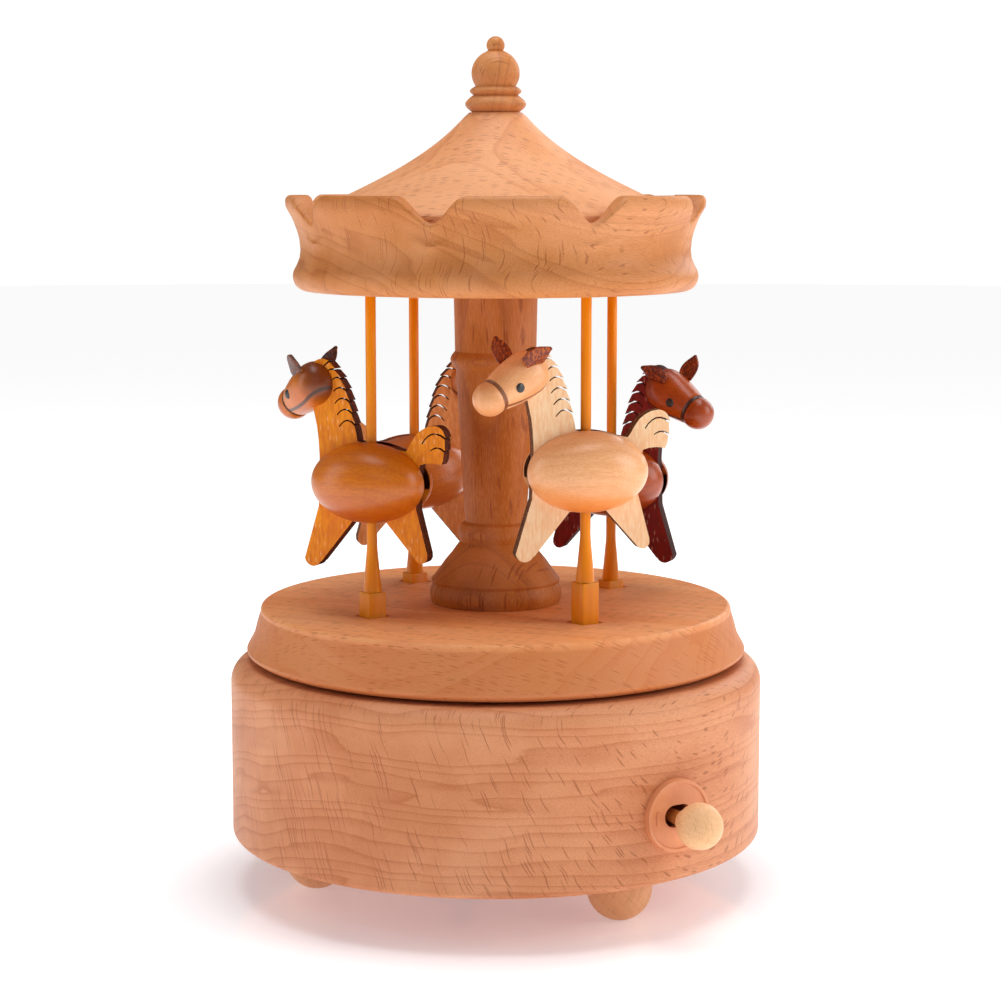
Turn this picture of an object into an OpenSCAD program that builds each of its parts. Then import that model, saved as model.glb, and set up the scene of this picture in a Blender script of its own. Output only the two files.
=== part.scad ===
// Carousel music box: a turned beech base with a wind-up comb movement inside, and a platform, column and
// canopy that turn together and carry four horses on sliding poles.
// Millimetres, +Z up, origin on the table at the axis of the base. The front is towards -Y, and an azimuth
// is counted from the front towards +X.

/* [Base] */
// Outer radius of the wooden base
base_r = 55.2; // [54:0.1:57]
// Height of the underside of the base above the table
base_bottom_z = 11.3; // [11:0.1:11.6]
// Height of the top plane of the base
base_top_z = 47.8; // [47.6:0.1:48]
// Radius of the round hollow that holds the movement
hollow_r = 44; // [43.5:0.1:45]
// Height of the ceiling of that hollow
hollow_top_z = 36; // [35.8:0.1:36.4]
// Rounding of the top outer edge of the base
base_top_round = 4.3; // [3:0.1:5]
// Thickness of the bottom plate
bottom_plate_t = 3; // [2.5:0.1:3]

/* [Feet] */
// Radius of each ball foot
foot_r = 6.6; // [6.3:0.1:7]
// Distance of each foot from the axis
foot_ring_r = 38; // [36:0.5:40]
// Azimuth of the first foot, with the others a third of a turn apart
foot_azimuth = 40.5; // [35:0.5:45]

/* [Platform] */
// Radius of the platform at its widest
platform_r = 51.8; // [51:0.1:52]
// Height of the underside of the platform
platform_bottom_z = 48.5; // [48.4:0.1:48.7]
// Height of the top face of the platform
platform_top_z = 59.2; // [59:0.1:59.4]
// Width of each square pole hole
pole_hole_w = 5.4; // [5:0.1:5.6]

/* [Column and canopy] */
// Height of the underside of the canopy
canopy_bottom_z = 124; // [123.5:0.1:124.5]
// Radius of the canopy at the top of its rim
canopy_r = 42.9; // [42.5:0.1:43.3]
// Height of the top of the scalloped rim
canopy_rim_z = 143.3; // [143:0.1:143.6]
// Number of dips round the rim
scallop_count = 8; // [6:1:12]
// Azimuth of the first dip
scallop_azimuth = 27.3; // [0:0.1:45]
// Depth of each dip
scallop_depth = 5.2; // [3:0.1:5.4]
// Half width of each dip
scallop_half_w = 7.4; // [5:0.1:9]
// Height of the flat top of the roof cone
roof_top_z = 159.9; // [159:0.1:160.5]
// Height of the very top of the finial
finial_top_z = 175.2; // [174.8:0.1:175.6]

/* [Horses and poles] */
// Distance of each pole from the axis
pole_ring_r = 30.5; // [30:0.1:32]
// Azimuth of the first pole, with the others a quarter turn apart
pole_azimuth = 35.5; // [0:0.5:89]
// Width of the square foot block of each pole
pole_block_w = 4; // [3.6:0.1:4.2]
// Radius of the round rod of each pole
pole_rod_r = 1.05; // [0.9:0.05:1.1]
// Height of the block above the platform at rest, for the cream, golden, tan and chestnut horses
pole_lift = [8.1, 5, 2, 1.5]; // [1:0.1:9]
// Turn of each horse on its pole, in degrees
horse_turn = [-22.5, 31.5, -23.5, 32.5]; // [-40:0.5:40]
// Turn of each head on its neck, in degrees, outwards positive
head_turn = [24, -32, -14, -22]; // [-40:1:40]
// Lean of the outer and the inner ear of each horse, in degrees, backwards positive
ear_lean = [[70, 26], [60, 22], [30, 30], [24, 74]]; // [0:1:80]
// Thickness of the flat profile board of each horse
board_t = 2.8; // [2.6:0.1:3]
// Half length and radius of the turned body
horse_body = [12.2, 8.1]; // [7:0.1:15]

/* [Movement] */
// Module of the large gears
gear_module = 0.5; // [0.5:0.1:0.5]
// Teeth on the gear that turns the platform
turntable_teeth = 24; // [24:1:24]
// Teeth on the pinion of the spring barrel
barrel_teeth = 12; // [12:1:12]
// Teeth on the face gear of the spring barrel
crown_teeth = 38; // [38:1:38]
// Teeth on the gear of the music cylinder
cylinder_teeth = 20; // [20:1:20]
// Teeth on each governor pinion
pinion_teeth = 8; // [8:1:8]
// Teeth on the governor wheel
governor_teeth = 30; // [30:1:30]

/* [Hidden] */
$fn = 96;
HORSES = ["cream", "golden", "tan", "chestnut"];

beech = [0.86, 0.62, 0.45];
pale_wood = [0.85, 0.7, 0.5];
amber_plastic = [0.95, 0.6, 0.1];
pink_plastic = [0.86, 0.58, 0.47];
steel = [0.65, 0.66, 0.68];
brass = [0.8, 0.65, 0.3];
zinc = [0.55, 0.56, 0.58];
board_colours = [[0.95, 0.82, 0.62], [0.9, 0.6, 0.18], [0.82, 0.62, 0.4], [0.45, 0.13, 0.06]];
body_colours = [[0.9, 0.72, 0.52], [0.72, 0.42, 0.15], [0.78, 0.54, 0.33], [0.5, 0.22, 0.1]];
ear_colours = [[0.55, 0.27, 0.1], [0.3, 0.15, 0.08], [0.4, 0.22, 0.1], [0.3, 0.1, 0.05]];

cut = 0.01;                     // overshoot of a cutting solid
bottom_plate_r = 49.8;
rebate_r = 50;
plate_top_z = base_bottom_z + bottom_plate_t;
screw_ring_r = 47;

track_inner_r = 26.5;
track_outer_r = 40;
track_floor_z = 39;

shaft_r = 2;
bush_r = 4;
running_gap = 0.05;             // radial gap of a running fit

pole_block_h = 18.8;
pole_flare_h = 9;
pole_rod_top = 71.6;            // top of the rod above the top of its block
rod_hole_r = 1.35;

spring_x = -7.2;                // the winding axis, 9 mm from the axis of the platform
spring_y = 5.4;
barrel_r = 11;
barrel_bottom_z = 16.9;
crown_pitch_z = 22.3;
tooth_out = 0.35;               // tooth height above the pitch line
tooth_in = 0.65;                // tooth depth below it
arbor_r = 1.5;
gear_z = 33.4;                  // bottom of the gears that turn the platform
gear_t = 2;
cylinder_z = crown_pitch_z + cylinder_teeth * gear_module / 2;
cylinder_r = 6.2;
cylinder_y = -8.2;              // near end of the pinned cylinder
cylinder_len = 15.4;
pin_h = 0.5;
gear_y = -3.4;                  // near face of the cylinder's gear
fine_module = 0.35;
governor_x = spring_x + (cylinder_teeth + pinion_teeth) * gear_module / 2;
fly_x = governor_x + (governor_teeth + pinion_teeth) * fine_module / 2;
wheel_y = -5.6;
frame_t = 2;                    // thickness of the movement's cast plate
frame_top_z = plate_top_z + frame_t;

switch_at = [35.2, -44.6, 25];  // middle of the face of the switch plate
switch_turn = 31;               // azimuth that the switch faces
switch_r = 7.1;
pivot_depth = 16;               // pivot of the lever behind the face
lever_drop = 0.5;
knob_out = 6.9;                 // middle of the knob in front of the face
knob_r = 4.5;

// Half sine bulge from z0 to z1 on a radius, as points of a profile
function bead(z0, z1, neck, swell) =
    [for (i = [0 : 8]) [neck + swell * sin(22.5 * i), z0 + (z1 - z0) * i / 8]];

// Arc of an ellipse as points of a profile
function arc(cx, cz, rx, rz, a0, a1, steps) =
    [for (i = [0 : steps]) let (a = a0 + (a1 - a0) * i / steps) [cx + rx * cos(a), cz + rz * sin(a)]];

module turn_to(azimuth) {
    rotate([0, 0, azimuth])
        children();
}

// Evenly spaced copies round the axis
module ring_of(count, azimuth, r) {
    for (i = [0 : count - 1])
        turn_to(azimuth + 360 / count * i)
            translate([0, -r, 0])
                children();
}

// Spur gear along +Z with a tooth centred on +X
module gear(teeth, mod, thick, bore) {
    pitch_r = teeth * mod / 2;
    half = 360 / teeth * 0.2;
    difference() {
        linear_extrude(thick)
            polygon([for (i = [0 : teeth - 1]) let (a = 360 / teeth * i)
                each [for (p = [[-1.5 * half, -tooth_in], [-0.5 * half, tooth_out],
                                [0.5 * half, tooth_out], [1.5 * half, -tooth_in]])
                    let (r = pitch_r + p[1] * mod / gear_module, b = a + p[0]) [r * cos(b), r * sin(b)]]]);
        translate([0, 0, -cut])
            cylinder(h = thick + 2 * cut, r = bore, $fn = 48);
    }
}

// Wood screw or machine screw, head upwards, its head's underside at z = 0
module screw(shank_r, shank_h, head_r, head_h) {
    difference() {
        union() {
            cylinder(h = head_h, r = head_r, $fn = 32);
            translate([0, 0, -shank_h])
                cylinder(h = shank_h + cut, r = shank_r, $fn = 32);
        }
        translate([-head_r, -0.25, head_h * 0.5])
            cube([2 * head_r, 0.5, head_h]);
    }
}

// Frame of the switch: X to the right along the wall, Y up, Z out of the wall
module switch_frame() {
    translate(switch_at)
        rotate([90, 0, switch_turn])
            children();
}

module stadium(length, width) {
    square([length - width, width], center = true);
    for (side = [-1, 1])
        translate([side * (length - width) / 2, 0])
            circle(d = width, $fn = 40);
}

// ---- base ----

module base_housing() {
    profile = concat(
        [[rebate_r, base_bottom_z], [base_r - 1.4, base_bottom_z]],
        arc(base_r - 1.4, base_bottom_z + 1.4, 1.4, 1.4, -60, 0, 4),
        arc(base_r - base_top_round, base_top_z - base_top_round, base_top_round, base_top_round, 0, 90, 10),
        [[track_outer_r, base_top_z], [track_outer_r, hollow_top_z],
         [hollow_r, hollow_top_z], [hollow_r, plate_top_z], [rebate_r, plate_top_z]]);
    color(beech)
        difference() {
            rotate_extrude($fn = 180)
                polygon(profile);
            switch_frame()
                translate([0, 0, -18])
                    cylinder(h = 22, r = 4.3);
            ring_of(3, 100, screw_ring_r)
                translate([0, 0, plate_top_z - cut])
                    cylinder(h = 6.6, r = 1, $fn = 32);
        }
}

// Disc under the ring channel that the pole feet move in
module track_floor() {
    color(beech)
        translate([0, 0, hollow_top_z])
            difference() {
                cylinder(h = track_floor_z - hollow_top_z, r = track_outer_r - 0.05, $fn = 180);
                translate([0, 0, -cut])
                    cylinder(h = track_floor_z, r = bush_r);
            }
}

// Round block inside the ring channel, which carries the platform
module base_hub() {
    color(beech)
        translate([0, 0, track_floor_z])
            difference() {
                cylinder(h = base_top_z - track_floor_z, r = track_inner_r, $fn = 180);
                translate([0, 0, -cut])
                    cylinder(h = base_top_z, r = bush_r);
            }
}

module bottom_plate() {
    color(beech)
        difference() {
            translate([0, 0, base_bottom_z])
                cylinder(h = bottom_plate_t, r = bottom_plate_r, $fn = 180);
            ring_of(3, 100, screw_ring_r)
                translate([0, 0, base_bottom_z - cut])
                    union() {
                        cylinder(h = bottom_plate_t + 2 * cut, r = 1.3, $fn = 32);
                        cylinder(h = 1.2, r = 2.1, $fn = 32);
                    }
            ring_of(3, foot_azimuth, foot_ring_r)
                translate([0, 0, base_bottom_z - cut])
                    cylinder(h = bottom_plate_t + 2 * cut, r = 2.5, $fn = 48);
            translate([spring_x, spring_y, base_bottom_z - cut])
                cylinder(h = bottom_plate_t + 2 * cut, r = 3.4, $fn = 48);
            for (at = movement_screw_places())
                translate([at[0], at[1], base_bottom_z + 0.6])
                    cylinder(h = bottom_plate_t, r = 1, $fn = 32);
        }
}

module bottom_screws() {
    color(steel)
        ring_of(3, 100, screw_ring_r)
            translate([0, 0, base_bottom_z + 1.1])
                rotate([180, 0, 0])
                    screw(0.95, 8, 1.9, 1);
}

module foot(index) {
    center_z = foot_r - 0.4;
    color(pale_wood)
        turn_to(foot_azimuth + 120 * index)
            translate([0, -foot_ring_r, 0])
                union() {
                    intersection() {
                        translate([0, 0, center_z])
                            sphere(foot_r, $fn = 72);
                        cylinder(h = base_bottom_z, r = foot_r + 1);
                    }
                    translate([0, 0, base_bottom_z - cut])
                        cylinder(h = bottom_plate_t - 0.2, r = 2.45, $fn = 48);
                }
}

// The wavy ring under the poles, drawn as a low wave that every pole foot clears
module lift_track() {
    color(pink_plastic)
        difference() {
            translate([0, 0, track_floor_z])
                cylinder(h = 1, r = track_outer_r - 0.3, $fn = 120);
            translate([0, 0, track_floor_z - cut])
                cylinder(h = 2, r = track_inner_r + 0.3, $fn = 120);
            ring_of(2, pole_azimuth + 45, 31.5)
                translate([0, 0, track_floor_z + 18.6])
                    rotate([0, 90, 90])
                        cylinder(h = 14, r = 18, center = true, $fn = 120);
        }
}

module spindle_bush() {
    color(brass)
        translate([0, 0, hollow_top_z])
            difference() {
                cylinder(h = base_top_z - hollow_top_z, r = bush_r - 0.02);
                translate([0, 0, -cut])
                    cylinder(h = 20, r = shaft_r + running_gap);
            }
}

module thrust_washer() {
    color("ivory")
        translate([0, 0, base_top_z])
            difference() {
                cylinder(h = 0.5, r = 7);
                translate([0, 0, -cut])
                    cylinder(h = 1, r = shaft_r + 0.3);
            }
}

// ---- switch ----

module switch_plate() {
    color(pink_plastic)
        difference() {
            union() {
                difference() {
                    switch_frame()
                        translate([0, 0, -6])
                            cylinder(h = 6, r = switch_r);
                    cylinder(h = 60, r = base_r, $fn = 180);
                }
                switch_frame()
                    translate([0, 0, -9])
                        cylinder(h = 8.5, r = 4.2);
                // raised rim and the two plain position marks, a bar and a ring
                switch_frame() {
                    difference() {
                        translate([0, 0, -0.2])
                            cylinder(h = 0.5, r = switch_r);
                        translate([0, 0, -0.3])
                            cylinder(h = 1, r = switch_r - 0.6);
                    }
                    translate([-4.9, 0, 0.05])
                        cube([0.5, 2.6, 0.5], center = true);
                    translate([4.7, 0, -0.2])
                        difference() {
                            cylinder(h = 0.5, r = 1.3, $fn = 32);
                            translate([0, 0, -cut])
                                cylinder(h = 1, r = 0.85, $fn = 32);
                        }
                }
            }
            switch_frame()
                translate([0, 0, -10])
                    linear_extrude(12)
                        stadium(6.4, 4.4);
        }
}

module switch_pivot_pin() {
    color(steel)
        switch_frame()
            translate([0, 0, -pivot_depth])
                rotate([-90, 0, 0])
                    translate([0, 0, plate_top_z - switch_at[2]])
                        union() {
                            cylinder(h = 15, r = 0.8, $fn = 40);
                            cylinder(h = 7.2, r = 1.9, $fn = 40);
                        }
}

module switch_lever() {
    boss_h = 5;
    tip = [15.6, -19.6];
    pivot = [switch_at[0] - pivot_depth * sin(switch_turn), switch_at[1] + pivot_depth * cos(switch_turn)];
    reach = tip - pivot;
    color([0.5, 0.3, 0.15])
        difference() {
            union() {
                switch_frame()
                    translate([0, -lever_drop, -pivot_depth])
                        cylinder(h = pivot_depth + knob_out - knob_r + 2, r = 1.4, $fn = 48);
                translate([pivot[0], pivot[1], switch_at[2] - lever_drop - boss_h / 2])
                    cylinder(h = boss_h, r = 2.4, $fn = 48);
                translate([pivot[0], pivot[1], switch_at[2] - lever_drop - 0.5])
                    rotate([0, 0, atan2(reach[1], reach[0])])
                        translate([0, -0.8, 0])
                            cube([norm(reach), 1.6, 1.2]);
                translate([tip[0], tip[1], switch_at[2] - lever_drop - 0.5])
                    cylinder(h = 4, r = 0.9, $fn = 32);
            }
            translate([pivot[0], pivot[1], switch_at[2] - 8])
                cylinder(h = 16, r = 0.8 + running_gap, $fn = 40);
        }
}

module switch_knob() {
    color(pale_wood)
        switch_frame()
            translate([0, -lever_drop, knob_out])
                difference() {
                    rotate_extrude($fn = 64)
                        polygon(concat([[0, -knob_r - 0.4], [2.3, -knob_r - 0.4], [2.4, -3.8]],
                                       arc(0, 0, knob_r, knob_r, -50, 90, 16)));
                    translate([0, 0, -knob_r - 1])
                        cylinder(h = 3.1, r = 1.4, $fn = 48);
                }
}

// ---- movement ----

function movement_screw_places() = [[-26, -4], [-26, 14], [10, 10], [-13, -25.6]];

module bracket(x, y, width, thick, top_z, axis_z, bore_r) {
    difference() {
        translate([x - width / 2, y - thick, frame_top_z - 0.5])
            cube([width, thick, top_z - frame_top_z + 0.5]);
        translate([x, y + cut, axis_z])
            rotate([90, 0, 0])
                cylinder(h = thick + 2 * cut, r = bore_r, $fn = 40);
    }
}

module movement_frame() {
    color(zinc)
        difference() {
            union() {
                translate([-30, -27.5, plate_top_z])
                    cube([43, 45.5, frame_t]);
                translate([-28, -23.4, frame_top_z - 0.5])
                    cube([5.5, 15, cylinder_z - 0.4 - frame_top_z + 0.5]);
                bracket(spring_x, -6.8, 4, 1, cylinder_z + 2.4, cylinder_z, 1 + running_gap);
                bracket(spring_x, -24, 4, 1.2, cylinder_z + 2.4, cylinder_z, 1 + running_gap);
            }
            translate([spring_x, spring_y, plate_top_z - cut])
                cylinder(h = 3, r = arbor_r + running_gap, $fn = 48);
            for (at = movement_screw_places())
                translate([at[0], at[1], plate_top_z - cut])
                    cylinder(h = 3, r = 1.2, $fn = 32);
            for (y = comb_screw_y())
                translate([-25.2, y, cylinder_z - 6])
                    cylinder(h = 6, r = 0.9, $fn = 32);
        }
}

module movement_screws() {
    color(steel)
        for (at = movement_screw_places())
            translate([at[0], at[1], frame_top_z])
                screw(0.95, frame_t + 2.2, 1.9, 1.1);
}

function comb_screw_y() = [-11, -16, -21];

module comb() {
    tooth_pitch = 15 / 18;
    color(steel)
        difference() {
            translate([-28, -23.4, cylinder_z - 0.4])
                cube([28 + spring_x - cylinder_r - pin_h - 0.35, 15, 0.8]);
            for (i = [1 : 17])
                translate([-22, -23.4 + tooth_pitch * i - 0.12, cylinder_z - 1])
                    cube([12, 0.24, 2]);
            for (y = comb_screw_y())
                translate([-25.2, y, cylinder_z - 1])
                    cylinder(h = 2, r = 1.05, $fn = 32);
        }
}

module comb_screws() {
    color(steel)
        for (y = comb_screw_y())
            translate([-25.2, y, cylinder_z + 0.4])
                screw(0.85, 4.6, 1.8, 1);
}

module governor_frame() {
    color(steel)
        difference() {
            union() {
                translate([3.6, -19.6, frame_top_z])
                    cube([7.8, 18.4, 1]);
                // rear plate, stepped over the spring barrel
                translate([3.6, -2.4, frame_top_z])
                    cube([7.8, 1.2, 14]);
                translate([governor_x - 2, -2.4, 23.8])
                    cube([9, 1.2, 6.5]);
                translate([governor_x - 2, -7.8, frame_top_z])
                    cube([11.6, 1, 14]);
                translate([3.6, -8.8, frame_top_z])
                    cube([7.8, 1.5, 1]);
                translate([5.4, -19.6, frame_top_z])
                    cube([4, 1.2, 14]);
            }
            for (x = [governor_x, fly_x])
                translate([x, 0, cylinder_z])
                    rotate([90, 0, 0])
                        cylinder(h = 30, r = 0.8 + running_gap, $fn = 40);
        }
}

module spring_barrel() {
    crown_h = tooth_out + tooth_in;
    color(brass)
        translate([spring_x, spring_y, 0])
            difference() {
                union() {
                    translate([0, 0, barrel_bottom_z])
                        cylinder(h = crown_pitch_z - tooth_in - barrel_bottom_z, r = barrel_r);
                    translate([0, 0, barrel_bottom_z])
                        cylinder(h = gear_z + gear_t - barrel_bottom_z, r = 2.2);
                    translate([0, 0, gear_z])
                        rotate([0, 0, atan2(-spring_y, -spring_x)])
                            gear(barrel_teeth, gear_module, gear_t, 1);
                    for (i = [0 : crown_teeth - 1])
                        rotate([0, 0, 360 / crown_teeth * (i + 0.5) - 90])
                            translate([8.6, 0, crown_pitch_z - tooth_in - cut])
                                rotate([90, 0, 90])
                                    linear_extrude(2.2)
                                        polygon([[-0.5, 0], [0.5, 0], [0.2, crown_h], [-0.2, crown_h]]);
                }
                translate([0, 0, barrel_bottom_z - cut])
                    cylinder(h = 22, r = arbor_r + running_gap, $fn = 48);
                // room for the mainspring
                translate([0, 0, barrel_bottom_z - cut])
                    difference() {
                        cylinder(h = 3.8, r = barrel_r - 0.8);
                        cylinder(h = 3.8, r = 2.6);
                    }
            }
}

// Coiled strip of spring steel
module mainspring() {
    turns = 6;
    steps = 24;
    strip = 0.3;
    r_in = 3.4;
    r_out = 9.6;
    function spiral(t, side) = let (r = r_in + (r_out - r_in) * t / (turns * steps) + side * strip / 2)
        [r * cos(360 / steps * t), r * sin(360 / steps * t)];
    color(steel)
        translate([spring_x, spring_y, barrel_bottom_z + 0.3])
            linear_extrude(3)
                polygon(concat([for (t = [0 : turns * steps]) spiral(t, 1)],
                               [for (t = [turns * steps : -1 : 0]) spiral(t, -1)]));
}

module winding_arbor() {
    color(steel)
        translate([spring_x, spring_y, 7.9])
            cylinder(h = 27.2, r = arbor_r, $fn = 48);
}

module winding_key() {
    color(steel)
        translate([spring_x, spring_y, 0])
            difference() {
                union() {
                    translate([0, 0, 6.9])
                        cylinder(h = 3.7, r = 2.5, $fn = 48);
                    for (side = [-1, 1])
                        translate([side * 3.1, 0.8, 4.4])
                            rotate([90, 0, 0])
                                cylinder(h = 1.6, r = 3.3, $fn = 64);
                    translate([-2, -0.8, 1.8])
                        cube([4, 1.6, 6]);
                }
                for (side = [-1, 1])
                    translate([side * 3.3, 1, 4.4])
                        rotate([90, 0, 0])
                            cylinder(h = 2, r = 1.7, $fn = 48);
                translate([0, 0, 7.9])
                    cylinder(h = 4, r = arbor_r, $fn = 48);
            }
}

// Axis of the cylinder, with +Z of the children pointing to the front
module along_cylinder(x, y) {
    translate([x, y, cylinder_z])
        rotate([90, 0, 0])
            children();
}

module music_cylinder() {
    rows = 18;
    color(brass) {
        along_cylinder(spring_x, cylinder_y)
            union() {
                cylinder(h = cylinder_len, r = cylinder_r);
                for (row = [0 : rows - 1])
                    for (beat = [0 : 2])
                        rotate([0, 0, 20 + beat * 113 + row * 67])
                            translate([cylinder_r - 0.2, 0, 0.6 + row * 0.83])
                                rotate([0, 90, 0])
                                    cylinder(h = pin_h + 0.2, r = 0.2, $fn = 6);
            }
        along_cylinder(spring_x, -2.8)
            cylinder(h = 23, r = 1, $fn = 40);
    }
}

module cylinder_gear() {
    color(brass)
        along_cylinder(spring_x, gear_y)
            rotate([0, 0, -90])
                gear(cylinder_teeth, gear_module, 1.8, 1);
}

module governor_wheel() {
    color(brass)
        union() {
            along_cylinder(governor_x, gear_y)
                rotate([0, 0, 180 + 180 / pinion_teeth])
                    gear(pinion_teeth, gear_module, 1.8, 0.5);
            along_cylinder(governor_x, wheel_y)
                gear(governor_teeth, fine_module, 0.8, 0.5);
            along_cylinder(governor_x, -1.3)
                cylinder(h = 6.4, r = 0.8, $fn = 40);
        }
}

module governor_fly() {
    color(steel)
        union() {
            along_cylinder(fly_x, wheel_y)
                rotate([0, 0, 180 + 180 / pinion_teeth])
                    gear(pinion_teeth, fine_module, 0.8, 0.3);
            along_cylinder(fly_x, -1.3)
                cylinder(h = 18.2, r = 0.8, $fn = 40);
            along_cylinder(fly_x, -10)
                translate([-4.2, -0.2, 0])
                    cube([8.4, 0.4, 7]);
        }
}

// ---- turntable ----

module drive_shaft() {
    color(steel)
        translate([0, 0, gear_z])
            cylinder(h = 28, r = shaft_r);
}

module turntable_gear() {
    color(brass)
        translate([0, 0, gear_z])
            rotate([0, 0, atan2(spring_y, spring_x) + 180 / turntable_teeth])
                gear(turntable_teeth, gear_module, gear_t, shaft_r);
}

module platform() {
    side = platform_top_z - platform_bottom_z;
    color(beech)
        difference() {
            rotate_extrude($fn = 180)
                polygon(concat(
                    [[shaft_r, platform_bottom_z], [platform_r - 0.6, platform_bottom_z]],
                    arc(platform_r - 0.7, platform_bottom_z + 1.2, 0.7, 1.2, -60, 10, 4),
                    [[platform_r - 2.9, platform_top_z - 1]],
                    arc(platform_r - 3.9, platform_top_z - 1, 1, 1, 0, 90, 5),
                    [[5, platform_top_z], [5, platform_bottom_z + 4], [shaft_r, platform_bottom_z + 4]]));
            ring_of(4, pole_azimuth, pole_ring_r)
                translate([-pole_hole_w / 2, -pole_hole_w / 2, platform_bottom_z - 1])
                    cube([pole_hole_w, pole_hole_w, side + 2]);
        }
}

module column() {
    color(beech)
        rotate_extrude($fn = 120)
            polygon(concat(
                [[shaft_r, platform_bottom_z + 4], [4.95, platform_bottom_z + 4], [4.95, platform_top_z]],
                bead(platform_top_z, 63, 13.3, 0.45),
                [[13.1, 63.3], [13.45, 64], [10.6, 67.8], [7.8, 71.4]],
                bead(71.9, 75.6, 7.2, 0.55),
                [[6.25, 76.1], [7.35, 93], [8.15, 107.6]],
                bead(108, 111.4, 8.4, 0.95),
                [[8.4, 111.9], [8.65, canopy_bottom_z], [4.95, canopy_bottom_z], [4.95, canopy_bottom_z + 7],
                 [0, canopy_bottom_z + 7], [0, 61.5], [shaft_r, 61.5]]));
}

module canopy_ring() {
    wall_r = 38.4;
    color(beech)
        difference() {
            rotate_extrude($fn = 180)
                polygon(concat(
                    [[5, canopy_bottom_z], [38, canopy_bottom_z]],
                    arc(38.9, canopy_bottom_z + 2.9, 2.6, 2.9, -80, 40, 8),
                    [[40.1, 130.6], [39.9, 132.2], [40.1, 134.4], [40.8, 136.8], [41.7, 139]],
                    arc(canopy_r - 1.4, 141.6, 1.4, canopy_rim_z - 141.6, -40, 90, 6),
                    arc(wall_r + 1, canopy_rim_z - 1, 1, 1, 90, 180, 4),
                    [[wall_r, 136.5], [36.8, 136.5], [36.8, 131], [5, 131]]));
            ring_of(scallop_count, scallop_azimuth, wall_r - 1)
                translate([0, cut, 0])
                    rotate([90, 0, 0])
                        linear_extrude(8)
                            polygon(concat(
                                [[scallop_half_w, canopy_rim_z + 1], [-scallop_half_w, canopy_rim_z + 1]],
                                [for (i = [-8 : 8]) [scallop_half_w * i / 8,
                                    canopy_rim_z - scallop_depth * (1 + cos(22.5 * i)) / 2]]));
            ring_of(4, pole_azimuth, pole_ring_r)
                translate([0, 0, canopy_bottom_z - 1])
                    cylinder(h = 9, r = rod_hole_r, $fn = 48);
        }
}

// Height of the roof's upper surface at a radius
function roof_z(r) = 139.7 + 0.42 * (38 - r) + 6.6 * exp(-(r - 5.6) / 9);

module roof_cone() {
    color(beech)
        difference() {
            rotate_extrude($fn = 180)
                polygon(concat(
                    [[2.45, 137], [36.4, 137], [36.4, 136.5], [38.2, 136.5], [38.2, 139.3]],
                    [for (r = [38 : -1.8 : 5.6]) [r, roof_z(r)]],
                    [[5.4, roof_top_z], [2.45, roof_top_z]]));
            // groove that the rod tops rise into
            difference() {
                translate([0, 0, 136])
                    cylinder(h = 4.6, r = pole_ring_r + 2.4, $fn = 120);
                translate([0, 0, 135])
                    cylinder(h = 7, r = pole_ring_r - 2.4, $fn = 120);
            }
        }
}

module finial() {
    color(beech)
        rotate_extrude($fn = 72)
            polygon(concat(
                [[0, roof_top_z - 7], [2.4, roof_top_z - 7], [2.4, roof_top_z]],
                bead(roof_top_z, 163.3, 4.7, 1.5),
                bead(163.4, 165, 4.5, 0.75),
                [[4.1, 165.2]],
                arc(0, 167.8, 4.9, 4.7, -32, 66, 14),
                [[1.5, 172.35]],
                arc(0, finial_top_z - 1.85, 1.85, 1.85, -25, 90, 10)));
}

// ---- horses ----

// Frame of one horse: X forwards, Y up, Z towards the column, the origin on top of the pole's block
module horse_frame(index) {
    turn_to(horse_azimuth(index))
        translate([0, -pole_ring_r, platform_top_z + pole_lift[index]])
            rotate([0, 0, horse_turn[index]])
                rotate([90, 0, 180])
                    children();
}

function horse_azimuth(index) = pole_azimuth - 90 * index;

body_y = 22.2;                  // height of the body's middle above the block
head_at = [12.4, 41.4];         // middle of the back of the head, where it turns on the neck
head_tilt = -27;
head_len = 17.8;
head_back = 4.9;                // length of the rounded back of the head

// Frame of one head: X towards the muzzle, the origin in the middle of its back
module head_frame(index) {
    horse_frame(index)
        translate([head_at[0], head_at[1], 0])
            rotate([0, head_turn[index], 0])
                rotate([0, 0, head_tilt])
                    children();
}

module pole(index) {
    color(amber_plastic)
        turn_to(horse_azimuth(index))
            translate([0, -pole_ring_r, platform_top_z + pole_lift[index]])
                union() {
                    translate([-pole_block_w / 2, -pole_block_w / 2, -pole_block_h])
                        cube([pole_block_w, pole_block_w, pole_block_h]);
                    translate([0, 0, -cut])
                        cylinder(h = pole_flare_h, r1 = 1.85, r2 = pole_rod_r, $fn = 48);
                    cylinder(h = pole_rod_top, r = pole_rod_r, $fn = 48);
                }
}

// Outline of the flat board: neck, mane, back, tail, two legs and belly
function board_outline() = concat(
    [[10.9, 27], [11.4, 33], [12.2, 36.6], [13.6, 39], [13.4, 43]],
    arc(10.2, 43.6, 2.8, 3.1, 20, 150, 6),
    [[6.3, 43.4], [5.2, 41], [4.4, 38.4], [3.6, 35.2], [2.4, 30.4]],
    [[0, 29.9], [-5, 29.4], [-8.2, 28.8], [-9.6, 31], [-11.6, 33.2]],
    arc(-14.5, 31.9, 2.2, 2.2, 95, 185, 5),
    [[-15.9, 26.5], [-12.6, 26.6], [-11.3, 26.2], [-10.6, 23]],
    [[-10.4, 17.4], [-12.8, 8.4]],
    arc(-11.4, 7.9, 1.4, 1.4, 165, 310, 6),
    [[-3.8, 14.4], [3.6, 14.3], [10.8, 5.6]],
    arc(12.6, 6.6, 1.9, 2, 205, 350, 6),
    [[11.2, 17]]);

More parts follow.
